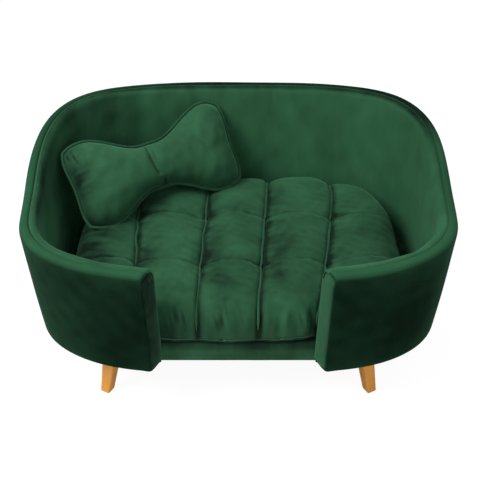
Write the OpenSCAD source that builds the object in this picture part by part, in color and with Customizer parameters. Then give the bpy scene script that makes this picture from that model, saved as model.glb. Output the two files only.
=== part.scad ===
// Dog sofa bed: an upholstered oval tub with a low front entrance, on four splayed wooden legs,
// with a channelled seat cushion and a bone-shaped pillow that both lift out.
// The origin is on the floor, under the middle of the sofa; +Y points to the back.

/* [Overall size] */
// Width of the tub across its rim
shell_w = 700; // [560:5:900]
// Depth of the oval across its rim, front to back
shell_d = 477; // [420:1:620]
// Height of the rim at the back
back_h = 395; // [330:1:520]
// Height of the rim on the arms
arm_h = 297; // [260:1:360]
// Height of the underside above the floor
underside_h = 100; // [70:1:140]
// Squareness of the oval plan: 2 is an ellipse
plan_power = 2.9; // [2.4:0.1:3.6]
// Outward lean of the wall, in degrees
wall_lean = 3.8; // [2:0.1:6]

/* [Wall] */
// Thickness of the padded wall over all its layers
wall_t = 28; // [22:0.5:40]
// Thickness of the velvet
cover_t = 1.2; // [0.8:0.1:2]
// Thickness of the wadding under the outer velvet
outer_pad_t = 5; // [3:0.5:10]
// Thickness of the bent plywood core
core_t = 6; // [4:0.5:9]
// Thickness of the foam strip along the rim
rim_pad_t = 8; // [5:0.5:14]
// Rounding of the rim over the foam strip
rim_r = 9; // [5:0.5:12]
// Rounding of the wall's bottom edge
foot_r = 5; // [3:0.5:8]
// Place of the seam along the rim's top, from the outer surface
seam_in = 16.5; // [12:0.5:20]
// Width of the velvet turned under the base
hem_w = 22; // [18:0.5:30]

/* [Entrance] */
// Width of the entrance between the arms' front corners
entrance_w = 267; // [200:1:320]
// How far each arm end slants across the wall
arm_slant = 12.5; // [6:0.5:18]
// Foam on each arm end
end_pad_t = 4; // [2:0.5:8]
// Width of the post inside each arm end
post_w = 18; // [12:1:26]
// How far the front rail stands behind the front of the tub
rail_setback = 35; // [30:0.5:45]
// Height of the front rail from the underside to the deck
rail_h = 36; // [30:0.5:50]
// Thickness of the front rail's board
rail_t = 12; // [8:0.5:18]
// Foam in front of the rail
rail_pad_t = 3.5; // [2:0.5:6]

/* [Base] */
// Thickness of the plywood base panel
panel_t = 12; // [9:1:18]
// Thickness of the dust cover under the base
dust_t = 0.7; // [0.4:0.1:1.2]
// Margin from the tub's edge to the dust cover
dust_inset = 12; // [8:1:20]
// Clearance of the dust cover round each leg
dust_hole_gap = 1; // [0.8:0.1:2]
// Thickness of a staple's wire
staple_t = 0.6; // [0.5:0.1:0.9]
// Width of a staple's crown
staple_w = 10; // [8:1:12]
// Length of a staple's legs
staple_l = 8; // [6:1:10]

/* [Legs] */
// Width of a leg at its top
leg_top_w = 26; // [20:0.5:34]
// Width of a leg at its foot
leg_foot_w = 17; // [12:0.5:24]
// Distance from the side of the tub's base to the middle of a leg's top
leg_inset_x = 133; // [90:1:150]
// Distance from the front or back of the tub's base to the middle of a leg's top
leg_inset_y = 74; // [60:1:90]
// Sideways splay of a leg from top to foot
leg_splay_x = 19; // [0:1:26]
// Splay of a leg to the front or back, from top to foot
leg_splay_y = 9; // [0:1:20]
// Turn of a leg about its own axis, in degrees
leg_turn = 28; // [0:1:45]
// Thickness of the felt pad under a foot
foot_pad_t = 2; // [1:0.5:4]
// Diameter of the felt pad under a foot
foot_pad_d = 13; // [9:0.5:16]

/* [Leg bolts] */
// Diameter of a hanger bolt
bolt_d = 8; // [6:1:10]
// Length of a hanger bolt in the leg
bolt_leg_l = 25; // [18:1:32]
// Outer diameter of a tee nut's barrel
nut_barrel_d = 10.5; // [10.5:0.5:13]
// Diameter of a tee nut's flange
nut_flange_d = 22; // [18:1:26]
// Thickness of a tee nut's flange
nut_flange_t = 1.4; // [1:0.1:2]

/* [Cushion] */
// Room between each end of the cushion and the side wall
cushion_side_gap = 27; // [12:1:50]
// Room between the cushion's edge seam and the back wall
cushion_back_gap = 4; // [2:0.5:30]
// How far the cushion's front bulges over the rail
cushion_overhang = 8; // [0:1:9]
// Height of the edge seam above the deck
cushion_seam_h = 10; // [9:1:25]
// Height of the crown above the edge seam, halfway to the back
cushion_crown_h = 81; // [60:1:90]
// How much higher the crown is at the back than halfway
cushion_back_rise = 14; // [0:1:20]
// Depth of the channels between the piped seams
channel_depth = 13; // [6:0.5:18]
// Depth of the sewn cross tucks
tuck_depth = 7; // [3:0.5:12]
// How far the seams draw the cushion's front and back edges in
edge_pull = 4; // [0:0.5:8]
// Diameter of the piping cord on the cushion
cushion_pipe_d = 4; // [3:0.5:6]
// Thickness of the quilted cover at its seams
quilt_t = 5; // [3:0.5:8]

/* [Bone pillow] */
// Length of the pillow
pillow_w = 313; // [220:1:340]
// Width of the pillow across a lobe
pillow_lobe_w = 153; // [120:1:180]
// Width of the pillow at its waist
pillow_waist_w = 76; // [65:1:100]
// Thickness of the pillow at a lobe
pillow_lobe_t = 76; // [50:1:90]
// Thickness of the pillow at its waist
pillow_waist_t = 62; // [40:1:80]
// Depth of the hollow in each end
pillow_notch = 12; // [0:0.5:15]
// Depth of the sewn tuck across the waist
pillow_tuck = 6; // [0:0.5:10]
// Diameter of the piping cord round the pillow
pillow_pipe_d = 5; // [3:0.5:7]
// Thickness of the pillow's padded cover
pillow_cover_t = 3; // [2:0.5:5]
// Turn of the pillow towards the back corner, in degrees
pillow_yaw = 27.5; // [10:0.5:40]
// Rise of the pillow's long axis, in degrees
pillow_pitch = 5; // [0:0.5:12]
// Lean of the pillow at its middle, in degrees
pillow_lean = 51.5; // [40:0.5:70]
// Twist of the pillow from its middle to each end, in degrees
pillow_twist = 7.5; // [0:1:14]
// Room between the pillow's end and the side wall
pillow_side_gap = 19; // [4:1:60]
// Room between the pillow and the wall that it leans towards
pillow_wall_gap = 8; // [1:0.5:14]

/* [Hidden] */

fit_gap = 0.3;        // clearance between neighbouring layers
thread_gap = 0.05;    // radial clearance round a bolt or a tee nut
cut_over = 1;         // overrun of a cut past the face it opens
slice_t = 0.03;       // thickness of the end slices that a leg spans
arc_fn = 48;          // facets of a drilled hole

velvet = [0.13, 0.31, 0.21];
velvet_dark = [0.09, 0.22, 0.15];
plywood = [0.80, 0.66, 0.46];
varnished_wood = [0.80, 0.50, 0.20];
foam = [0.93, 0.91, 0.80];
wadding = [0.95, 0.95, 0.93];
felt = [0.20, 0.20, 0.20];
zinc = [0.72, 0.73, 0.75];

// Shares of the plan's half depth between which the rim sweeps up from the arms to the back
sweep_front_share = -0.32;
sweep_back_share = 0.90;

// Heights of the layers of the base, from the floor up
hem_z = underside_h + dust_t + staple_t;
panel_z = hem_z + cover_t;
panel_top = panel_z + panel_t;
deck_z = underside_h + rail_h;
foam_z = panel_top + fit_gap;
foam_top = deck_z - cover_t - fit_gap;

// The plan at the underside, worked back from the leaning rim
lean = tan(wall_lean);
function smooth_step(v) = let (u = min(1, max(0, v))) u * u * (3 - 2 * u);
side_rise = smooth_step(-sweep_front_share / (sweep_back_share - sweep_front_share));
side_h = arm_h + (back_h - arm_h) * side_rise;
base_a = shell_w / 2 - lean * (side_h - underside_h);
base_b = (shell_d - lean * (arm_h + back_h - 2 * underside_h)) / 2;

// The plan is a superellipse: powers of a cosine and a sine, each with its own sign
plan_steps = 60;
function signed_pow(v, p) = sign(v) * pow(abs(v), p);
function plan_xy(phi) = [
    base_a * signed_pow(cos(phi), 2 / plan_power),
    plan_y + base_b * signed_pow(sin(phi), 2 / plan_power)
];
function plan_normal(phi) = let (n = [
    signed_pow(cos(phi), 2 - 2 / plan_power) / base_a,
    signed_pow(sin(phi), 2 - 2 / plan_power) / base_b
]) n / norm(n);
function plan_in(phi, depth) = plan_xy(phi) - plan_normal(phi) * depth;

// A point of the leaning wall, at a height and at a depth below its outer surface
function wall_point(phi, z, depth) = let (
    p = plan_xy(phi) + plan_normal(phi) * (lean * (z - underside_h) - depth)
) [p.x, p.y, z];
function rim_z(phi) = let (
    share = (plan_xy(phi).y - plan_y) / base_b,
    u = (share - sweep_front_share) / (sweep_back_share - sweep_front_share)
) arm_h + (back_h - arm_h) * smooth_step(u);

// Angle on the right front of the plan at a distance x from the middle
function front_phi(x) = -acos(pow(x / base_a, plan_power / 2));

// The middle of the plan lies where the arms' front and the back's rear are equally far off
arm_phi = front_phi(entrance_w / 2);
arm_reach = base_b * pow(-sin(arm_phi), 2 / plan_power)
    - plan_normal(arm_phi).y * lean * (arm_h - underside_h);
back_reach = base_b + lean * (back_h - underside_h);
plan_y = (arm_reach - back_reach) / 2;
// Distance from the middle to an arm end's surface, which slants with depth
function end_x(inset, depth) = entrance_w / 2 + inset - arm_slant * depth / wall_t;

// Depths of the wall's layers below its outer surface
outer_pad_in = cover_t + fit_gap;
core_in = outer_pad_in + outer_pad_t + fit_gap;
inner_pad_in = core_in + core_t + fit_gap;
inner_cover_in = wall_t - cover_t;
post_back = inner_cover_in - fit_gap;

// Insets of the pieces of an arm end behind its surface
end_pad_in = cover_t + fit_gap;
post_in = end_pad_in + end_pad_t + fit_gap;
core_end_in = post_in + post_w + fit_gap;
rim_pad_drop = cover_t + 2 * fit_gap;
pad_top_drop = rim_pad_drop + rim_pad_t + 2 * fit_gap;

// Angles of the stations round the wall, from the right arm end to the left one
min_station = 1;      // least angle from an arm end to the next station
function first_step(inset) = ceil((front_phi(end_x(inset, 0)) + min_station) * plan_steps / 360);
function stations(inset, depth) = let (
    phi_0 = front_phi(end_x(inset, depth)),
    first = first_step(inset),
    last = plan_steps / 2 - first
) concat([phi_0], [for (i = [first : last]) i * 360 / plan_steps], [180 - phi_0]);

// A wall band between an outer and an inner path of [depth, on_rim, rise] points:
// rise is measured from the underside, or from the rim where on_rim is 1
function section_point(phi, p) = wall_point(phi, (p[1] == 1 ? rim_z(phi) : underside_h) + p[2], p[0]);
module wall_band(outer, inner, inset) {
    m = len(outer);
    section = concat(outer, [for (i = [m - 1 : -1 : 0]) inner[i]]);
    n = 2 * m;
    angles = [for (p = section) stations(inset, p[0])];
    rows = len(angles[0]);
    points = [for (j = [0 : rows - 1]) for (k = [0 : n - 1]) section_point(angles[k][j], section[k])];
    sides = [for (j = [0 : rows - 2]) for (k = [0 : n - 1]) let (
        a = j * n + k,
        b = j * n + (k + 1) % n
    ) each [[a, b + n, a + n], [a, b, b + n]]];
    last = (rows - 1) * n;
    caps = [for (i = [0 : m - 2]) let (
        a = i,
        b = i + 1,
        c = n - 2 - i,
        d = n - 1 - i
    ) each [[a, c, b], [a, d, c], [last + a, last + b, last + c], [last + a, last + c, last + d]]];
    polyhedron(points, concat(sides, caps));
}

// A plate across the right arm's end between two insets, from an outline of [depth, z] points
module end_plate(outline, inset_0, inset_1) {
    n = len(outline);
    points = [for (inset = [inset_0, inset_1]) for (p = outline)
        wall_point(front_phi(end_x(inset, p[0])), p[1], p[0])];
    sides = [for (k = [0 : n - 1]) let (m = (k + 1) % n) each [[k, n + m, n + k], [k, m, n + m]]];
    caps = [for (k = [1 : n - 2]) each [[0, k + 1, k], [n, n + k, n + k + 1]]];
    polyhedron(points, concat(sides, caps));
}

// Outline of a flat layer of the base: the plan at a depth, cut back between the arms
rail_y = plan_y - base_b + rail_setback;
function front_cut(depth, inset, front_y) = let (
    x_outer = end_x(inset, depth),
    p = plan_in(front_phi(x_outer), depth),
    x_inner = end_x(inset, wall_t),
    q = plan_in(front_phi(x_inner), wall_t)
) depth < wall_t ? [p, q, [q.x, front_y]] : [[x_inner, front_y]];
function flat_outline(depth, inset, front_y) = let (
    right = front_cut(depth, inset, front_y),
    k = len(right),
    first = first_step(inset),
    last = plan_steps / 2 - first
) concat(
    [for (i = [k - 1 : -1 : 0]) right[i]],
    [for (i = [first : last]) plan_in(i * 360 / plan_steps, depth)],
    [for (i = [0 : k - 1]) [-right[i].x, right[i].y]]
);

// Base
panel_depth = core_in;
panel_front = rail_y + cover_t + fit_gap + rail_pad_t + fit_gap;
leg_x = base_a - leg_inset_x;
leg_y = base_b - leg_inset_y;
leg_places = [for (sx = [-1, 1]) for (sy = [-1, 1]) [sx, sy]];
nut_barrel_share = 0.9;
nut_barrel_l = (panel_t - nut_flange_t) * nut_barrel_share;
module at_legs() {
    for (p = leg_places) translate([p[0] * leg_x, p[1] * leg_y, 0]) children();
}

module base_panel() color(plywood) difference() {
    translate([0, 0, panel_z]) linear_extrude(height = panel_t)
        polygon(flat_outline(panel_depth, post_in, panel_front));
    at_legs() {
        translate([0, 0, panel_z - cut_over])
            cylinder(h = panel_t + 2 * cut_over, r = nut_barrel_d / 2 + thread_gap, $fn = arc_fn);
        translate([0, 0, panel_top - nut_flange_t])
            cylinder(h = nut_flange_t + cut_over, r = nut_flange_d / 2 + thread_gap, $fn = arc_fn);
    }
}

module dust_cover() color(felt) difference() {
    translate([0, 0, underside_h]) linear_extrude(height = dust_t)
        polygon(flat_outline(dust_inset, dust_inset, rail_y + dust_inset));
    for (p = leg_places)
        translate([p[0] * leg_x, p[1] * leg_y, underside_h - cut_over])
            rotate([0, 0, p[0] * p[1] * -leg_turn])
                linear_extrude(height = dust_t + 2 * cut_over)
                    square(leg_top_w + 2 * dust_hole_gap, center = true);
}

// Front rail between the arm posts, standing on the front edge of the panel
apron_half = end_x(0, wall_t);
module front_rail() color(plywood)
    translate([-apron_half, panel_front, panel_top])
        cube([2 * apron_half, rail_t, foam_top - panel_top]);

module rail_padding() color(foam)
    translate([-apron_half, rail_y + cover_t + fit_gap, panel_z])
        cube([2 * apron_half, rail_pad_t, foam_top - panel_z]);

module deck_foam() color(foam)
    translate([0, 0, foam_z]) linear_extrude(height = foam_top - foam_z)
        polygon(flat_outline(wall_t + fit_gap, fit_gap, panel_front + rail_t + fit_gap));

// The velvet of the deck runs over the rail, down its front and under the panel
module deck_cover() color(velvet) {
    translate([0, 0, foam_top + fit_gap]) linear_extrude(height = cover_t)
        polygon(flat_outline(wall_t + fit_gap, fit_gap, rail_y));
    translate([0, 0, hem_z]) linear_extrude(height = deck_z - hem_z)
        translate([-apron_half, rail_y]) square([2 * apron_half, cover_t]);
    translate([0, 0, hem_z]) linear_extrude(height = cover_t)
        translate([-apron_half, rail_y]) square([2 * apron_half, hem_w]);
}

// Wall
module wall_core() color(plywood) wall_band(
    [[core_in, 0, panel_top - underside_h], [core_in, 1, -pad_top_drop]],
    [[core_in + core_t, 0, panel_top - underside_h], [core_in + core_t, 1, -pad_top_drop]],
    core_end_in
);

post_outline = [
    [core_in, panel_top], [core_in, arm_h - pad_top_drop],
    [post_back, arm_h - pad_top_drop], [post_back, panel_top]
];
module right_arm_post() color(plywood) end_plate(post_outline, post_in, post_in + post_w);
module left_arm_post() mirror([1, 0, 0]) right_arm_post();

outer_pad_z = hem_z + cover_t + fit_gap - underside_h;
module outer_padding() color(wadding) wall_band(
    [[outer_pad_in, 0, outer_pad_z + foot_r], [outer_pad_in, 1, -pad_top_drop]],
    [[core_in - fit_gap, 0, outer_pad_z + foot_r], [core_in - fit_gap, 1, -pad_top_drop]],
    end_pad_in
);

module inner_padding() color(foam) wall_band(
    [[inner_pad_in, 0, foam_z - underside_h], [inner_pad_in, 1, -pad_top_drop]],
    [[post_back, 0, foam_z - underside_h], [post_back, 1, -pad_top_drop]],
    core_end_in
);

// Foam strip along the rim, rounded like the velvet over it
rim_pad_r = min(rim_r - cover_t, rim_pad_t);
corner_share = 0.3;   // how far a corner's middle point lies from each side
module rim_padding() color(foam) wall_band(
    [
        [outer_pad_in, 1, -rim_pad_drop - rim_pad_t],
        [outer_pad_in, 1, -rim_pad_drop - rim_pad_r],
        [outer_pad_in + rim_pad_r * corner_share, 1, -rim_pad_drop - rim_pad_r * corner_share],
        [outer_pad_in + rim_pad_r, 1, -rim_pad_drop]
    ],
    [
        [post_back, 1, -rim_pad_drop - rim_pad_t],
        [post_back, 1, -rim_pad_drop - rim_pad_r],
        [post_back - rim_pad_r * corner_share, 1, -rim_pad_drop - rim_pad_r * corner_share],
        [post_back - rim_pad_r, 1, -rim_pad_drop]
    ],
    end_pad_in
);

module right_end_pad() end_plate(post_outline, end_pad_in, end_pad_in + end_pad_t);
module arm_end_padding() color(foam) {
    right_end_pad();
    mirror([1, 0, 0]) right_end_pad();
}

// Velvet of the outside: from the hem under the base, up the wall and over the rim to the seam
hem_rise = hem_z - underside_h;
outer_seam = min(seam_in, wall_t - rim_r) - fit_gap / 2;
pad_side_r = rim_r - cover_t;
module outer_cover() color(velvet_dark) wall_band(
    [
        [hem_w, 0, hem_rise],
        [foot_r, 0, hem_rise],
        [0, 0, hem_rise + foot_r],
        [0, 1, -rim_r],
        [rim_r * corner_share, 1, -rim_r * corner_share],
        [rim_r, 1, 0],
        [outer_seam, 1, 0]
    ],
    [
        [hem_w, 0, hem_rise + cover_t],
        [foot_r, 0, hem_rise + cover_t],
        [cover_t, 0, hem_rise + foot_r],
        [cover_t, 1, -rim_r],
        [cover_t + pad_side_r * corner_share, 1, -cover_t - pad_side_r * corner_share],
        [rim_r, 1, -cover_t],
        [outer_seam, 1, -cover_t]
    ],
    0
);

// Velvet of the lining: from the seam over the rim's inner edge and down to the deck
inner_seam = outer_seam + fit_gap;
module inner_cover() color(velvet) wall_band(
    [
        [inner_cover_in, 0, foam_z - underside_h],
        [inner_cover_in, 1, -rim_r],
        [inner_cover_in - pad_side_r * corner_share, 1, -cover_t - pad_side_r * corner_share],
        [wall_t - rim_r, 1, -cover_t],
        [inner_seam, 1, -cover_t]
    ],
    [
        [wall_t, 0, foam_z - underside_h],
        [wall_t, 1, -rim_r],
        [wall_t - rim_r * corner_share, 1, -rim_r * corner_share],
        [wall_t - rim_r, 1, 0],
        [inner_seam, 1, 0]
    ],
    0
);

// Velvet panel that closes each arm end between the outer and inner covers
facing_top = arm_h - rim_pad_drop;
facing_outline = [
    [outer_pad_in, hem_z + foot_r],
    [outer_pad_in, facing_top - rim_pad_r],
    [outer_pad_in + rim_pad_r * corner_share, facing_top - rim_pad_r * corner_share],
    [outer_pad_in + rim_pad_r, facing_top],
    [post_back - rim_pad_r, facing_top],
    [post_back - rim_pad_r * corner_share, facing_top - rim_pad_r * corner_share],
    [post_back, facing_top - rim_pad_r],
    [post_back, hem_z + cover_t + fit_gap],
    [foot_r, hem_z + cover_t + fit_gap]
];
module right_arm_facing() color(velvet) end_plate(facing_outline, 0, cover_t);
module left_arm_facing() mirror([1, 0, 0]) right_arm_facing();

// Staples that hold the turned velvet under the base
staple_depth = (hem_w + panel_depth) / 2;
staple_every = 2;     // plan steps from one staple to the next
module staple() {
    translate([-staple_w / 2, -staple_t / 2, -staple_t]) cube([staple_w, staple_t, staple_t]);
    for (s = [-1, 1])
        translate([s * (staple_w - staple_t) / 2 - staple_t / 2, -staple_t / 2, -staple_t])
            cube([staple_t, staple_t, staple_l + staple_t]);
}
apron_staples = 5;
module cover_staples() color(zinc) {
    first = first_step(core_end_in);
    for (i = [first : staple_every : plan_steps / 2 - first])
        let (phi = i * 360 / plan_steps, p = plan_in(phi, staple_depth), n = plan_normal(phi))
            translate([p.x, p.y, hem_z]) rotate([0, 0, atan2(n.y, n.x) + 90]) staple();
    for (i = [0 : apron_staples - 1])
        translate([(2 * i / (apron_staples - 1) - 1) * (apron_half - staple_w), rail_y + staple_depth, hem_z])
            staple();
}

// Legs and what fastens them
module tee_nut() difference() {
    union() {
        translate([0, 0, -nut_flange_t]) cylinder(h = nut_flange_t, r = nut_flange_d / 2, $fn = arc_fn);
        translate([0, 0, -nut_flange_t - nut_barrel_l])
            cylinder(h = nut_barrel_l + nut_flange_t, r = nut_barrel_d / 2, $fn = arc_fn);
    }
    translate([0, 0, -panel_t])
        cylinder(h = panel_t + cut_over, r = bolt_d / 2 + thread_gap, $fn = arc_fn);
}
module tee_nuts() color(zinc) at_legs() translate([0, 0, panel_top]) tee_nut();

module hanger_bolts() color(zinc) at_legs()
    translate([0, 0, panel_z - bolt_leg_l])
        cylinder(h = bolt_leg_l + panel_t - nut_flange_t, r = bolt_d / 2, $fn = arc_fn);

module leg_outline(w) rotate([0, 0, -leg_turn]) square([w, w], center = true);
module leg(sx, sy) color(varnished_wood) difference() {
    mirror([sx > 0 ? 0 : 1, 0, 0]) mirror([0, sy > 0 ? 0 : 1, 0]) hull() {
        translate([leg_x, leg_y, panel_z - slice_t]) linear_extrude(height = slice_t)
            leg_outline(leg_top_w);
        translate([leg_x + leg_splay_x, leg_y + leg_splay_y, foot_pad_t])
            linear_extrude(height = slice_t) leg_outline(leg_foot_w);
    }
    translate([sx * leg_x, sy * leg_y, panel_z - bolt_leg_l - cut_over])
        cylinder(h = bolt_leg_l + 2 * cut_over, r = bolt_d / 2 + thread_gap, $fn = arc_fn);
}
module front_left_leg() leg(-1, -1);
module front_right_leg() leg(1, -1);
module back_left_leg() leg(-1, 1);
module back_right_leg() leg(1, 1);

module foot_pads() color(felt) for (p = leg_places)
    translate([p[0] * (leg_x + leg_splay_x), p[1] * (leg_y + leg_splay_y), 0])
        cylinder(h = foot_pad_t, r = foot_pad_d / 2, $fn = arc_fn);

// A padded form between a top and a bottom grid of points that share their border
module padded_form(top, bottom) {
    ni = len(top) - 1;
    nj = len(top[0]) - 1;
    n_top = (ni + 1) * (nj + 1);
    points = concat(
        [for (i = [0 : ni]) for (j = [0 : nj]) top[i][j]],
        [for (i = [1 : ni - 1]) for (j = [1 : nj - 1]) bottom[i][j]]
    );
    function at_top(i, j) = i * (nj + 1) + j;
    function at_bottom(i, j) = (i == 0 || i == ni || j == 0 || j == nj)
        ? at_top(i, j) : n_top + (i - 1) * (nj - 1) + j - 1;
    function cell(a, b, c, d, flip) = flip
        ? [[a, b, d], [b, c, d]] : [[a, b, c], [a, c, d]];
    faces = [for (i = [0 : ni - 1]) for (j = [0 : nj - 1]) let (
        flip = (2 * i + 1 < ni) != (2 * j + 1 < nj)
    ) each concat(
        cell(at_top(i, j), at_top(i, j + 1), at_top(i + 1, j + 1), at_top(i + 1, j), flip),
        cell(at_bottom(i + 1, j), at_bottom(i + 1, j + 1), at_bottom(i, j + 1), at_bottom(i, j), !flip)
    )];
    polyhedron(points, faces);
}

// A tube of given radius along a path of [centre, side, up] frames
tube_sides = 6;
module tube(frames, r, closed) {
    n = len(frames);
    points = [for (f = frames) for (k = [0 : tube_sides - 1]) let (a = k * 360 / tube_sides)
        f[0] + r * (cos(a) * f[1] + sin(a) * f[2])];
    rows = closed ? n - 1 : n - 2;
    sides = [for (j = [0 : rows]) for (k = [0 : tube_sides - 1]) let (
        a = j * tube_sides + k,
        b = j * tube_sides + (k + 1) % tube_sides,
        c = (j + 1) % n * tube_sides + (k + 1) % tube_sides,
        d = (j + 1) % n * tube_sides + k
    ) each [[a, b, c], [a, c, d]]];
    caps = closed ? [] : [for (k = [1 : tube_sides - 2]) each [
        [0, k + 1, k],
        [(n - 1) * tube_sides, (n - 1) * tube_sides + k, (n - 1) * tube_sides + k + 1]
    ]];
    polyhedron(points, concat(sides, caps));
}

// Cushion: a crowned pad on shares s and t of its half length and half depth.
// Its seams lie at fixed shares s, which a warp draws together and to the left at the front.
cushion_a = base_a - wall_t - cushion_side_gap;
cushion_front = rail_y - cushion_overhang;
cushion_seam_z = deck_z + fit_gap + cushion_seam_h;
cushion_back = plan_y + base_b - wall_t + lean * (cushion_seam_z - underside_h) - cushion_back_gap;
cushion_b = (cushion_back - cushion_front) / 2;
cushion_y = cushion_front + cushion_b;
seam_shares = [-0.6, -0.2, 0.2, 0.6];
seam_front_shares = [-0.563, -0.229, 0.104, 0.448];
seam_back_shares = [-0.667, -0.191, 0.201, 0.648];
function seam_knots(t) = [for (k = [-1 : len(seam_shares)]) k < 0 ? [-1, -1]
    : k == len(seam_shares) ? [1, 1]
    : [seam_shares[k], (seam_front_shares[k] * (1 - t) + seam_back_shares[k] * (1 + t)) / 2]];
function warp(s, t) = lookup(s, seam_knots(t));
function unwarp(v, t) = lookup(v, [for (q = seam_knots(t)) [q[1], q[0]]]);
tuck_shares = [-0.39, 0.28];
channel_half_share = 0.2;
row_half_share = 0.33;
end_round_share = 0.2;
side_round_share = 0.26;
corner_power = 4;
side_power = 3;
pull_power = 7;
valley_power = 1.8;
top_power = 16;
bottom_power = 12;
bottom_gain_share = 1.06;
function valley(v, lines, half_share) = let (
    d = min([for (l = lines) abs(v - l)]) / half_share
) pow(1 - min(1, d), valley_power);
function edge(s, t, p) = sqrt(max(0, 1 - pow(abs(s), p))) * sqrt(max(0, 1 - pow(abs(t), p)));
function end_rounding(w, t) = 1 - end_round_share * w * w * pow(t, corner_power);
function side_rounding(s) = 1 - side_round_share * pow(abs(s), side_power);
function cushion_xy(s, t, inset) = let (w = warp(s, t)) [
    (cushion_a - inset) * w * end_rounding(w, t),
    cushion_y + (cushion_b - inset) * t * side_rounding(s)
        - signed_pow(t, pull_power) * edge_pull * valley(s, seam_shares, channel_half_share)
];
function cushion_crown(t) = cushion_crown_h + cushion_back_rise * t;
function cushion_top(s, t) = let (
    e = edge(s, t, top_power),
    dip = channel_depth * valley(s, seam_shares, channel_half_share)
        + tuck_depth * valley(t, tuck_shares, row_half_share)
) cushion_seam_z + cushion_crown(t) * e - dip * sqrt(e);
function cushion_bottom(s, t) =
    cushion_seam_z - cushion_seam_h * min(1, bottom_gain_share * edge(s, t, bottom_power));
function both_sides(shares) = concat([for (i = [len(shares) - 1 : -1 : 0]) -shares[i]], [0], shares);
s_shares = both_sides([0.1, 0.15, 0.2, 0.25, 0.3, 0.4, 0.5, 0.55, 0.6, 0.65, 0.72, 0.86, 0.96, 1]);
t_shares = both_sides([0.14, 0.28, 0.39, 0.5, 0.68, 0.84, 0.93, 0.98, 1]);
function cushion_grid(bottom) = [for (s = s_shares) [for (t = t_shares) let (p = cushion_xy(s, t, 0))
    [p.x, p.y, bottom ? cushion_bottom(s, t) : cushion_top(s, t)]]];

// The filling is a plain pad under the quilted cover, clear of its seams
core_drop = channel_depth + tuck_depth + quilt_t;
fill_shares = both_sides([0.35, 0.65, 0.87, 0.97, 1]);
function filling_grid(bottom, inset) = [for (s = fill_shares) [for (t = fill_shares) let (
    p = cushion_xy(s, t, 2 * quilt_t + edge_pull + inset),
    e = edge(s, t, top_power)
) [p.x, p.y, bottom
    ? cushion_seam_z - (cushion_seam_h - quilt_t - inset) * e
    : cushion_seam_z + (cushion_crown(t) - core_drop - inset) * e]]];

module cushion_cover() color(velvet) difference() {
    padded_form(cushion_grid(false), cushion_grid(true));
    padded_form(filling_grid(false, 0), filling_grid(true, 0));
}
module cushion_filling() color(wadding)
    padded_form(filling_grid(false, fit_gap), filling_grid(true, fit_gap));

// Piping cords in the channels, lifted clear of the flanks beside them
pipe_end_share = 0.94;
pipe_shares = [for (t = t_shares) if (abs(t) <= pipe_end_share) t];
flank_share = 0.05;
flank_slope = channel_depth * (1 - pow(1 - flank_share / channel_half_share, valley_power))
    / (flank_share * cushion_a);
pipe_lift = (cushion_pipe_d / 2 + 2 * fit_gap) * sqrt(1 + flank_slope * flank_slope);
function pipe_point(s, t) = let (p = cushion_xy(s, t, 0)) [p.x, p.y, cushion_top(s, t)];
function pipe_frame(s, i) = let (
    before = pipe_point(s, pipe_shares[max(0, i - 1)]),
    after = pipe_point(s, pipe_shares[min(len(pipe_shares) - 1, i + 1)]),
    along = (after - before) / norm(after - before),
    across = cross(along, [0, 0, 1]),
    side = across / norm(across),
    up = cross(side, along)
) [pipe_point(s, pipe_shares[i]) + pipe_lift * up, side, up];
module cushion_piping() color(velvet_dark)
    for (s = seam_shares)
        tube([for (i = [0 : len(pipe_shares) - 1]) pipe_frame(s, i)], cushion_pipe_d / 2, false);

// Height of the cushion's top over a place, found by undoing the plan mapping step by step
undo_steps = 6;
function undo_plan(x, y, s, t, k) = k == 0 ? [s, t] : let (
    s_new = unwarp(x / cushion_a / end_rounding(warp(s, t), t), t),
    t_new = (y - cushion_y) / cushion_b / side_rounding(s_new)
) undo_plan(x, y, max(-1, min(1, s_new)), max(-1, min(1, t_new)), k - 1);
cushion_rows = [for (s = s_shares) [for (t = t_shares) [t, cushion_top(s, t)]]];
function cushion_height(x, y) = let (q = undo_plan(x, y, 0, 0, undo_steps))
    lookup(q[0], [for (i = [0 : len(s_shares) - 1]) [s_shares[i], lookup(q[1], cushion_rows[i])]]);

// Bone pillow on shares s and t, in its own frame: x along it, y across it, z through it
waist_share = 0.1;
lobe_share = 0.78;
pillow_round_share = 0.09;
lobe_round_share = 0.14;
tuck_half_share = 0.14;
puff_power = 0.6;
puff_end_power = 4;
puff_side_power = 2.5;
lobe_corner_power = 8;
function lobe(s) = smooth_step((abs(s) - waist_share) / (lobe_share - waist_share));
function pillow_half_w(s) = (pillow_waist_w + (pillow_lobe_w - pillow_waist_w) * lobe(s)) / 2;
function pillow_half_t(s) = (pillow_waist_t + (pillow_lobe_t - pillow_waist_t) * lobe(s)) / 2;
function pillow_puff(s, t) = pow(max(0, 1 - pow(abs(s), puff_end_power)), puff_power)
    * pow(max(0, 1 - pow(abs(t), puff_side_power)), puff_power);
function pillow_local(s, t, side, inset) = let (
    x = (pillow_w / 2 - inset) * s * (1 - pillow_round_share * pow(t, corner_power))
        - signed_pow(s, pull_power) * pillow_notch * (1 - t * t),
    y = (pillow_half_w(s) - inset) * t * (1 - lobe_round_share * pow(s, lobe_corner_power)),
    dip = side > 0 ? pillow_tuck * valley(s, [0], tuck_half_share) : 0,
    z = (pillow_half_t(s) - dip - inset) * pillow_puff(s, t)
) [x, y, side * z];

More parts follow.
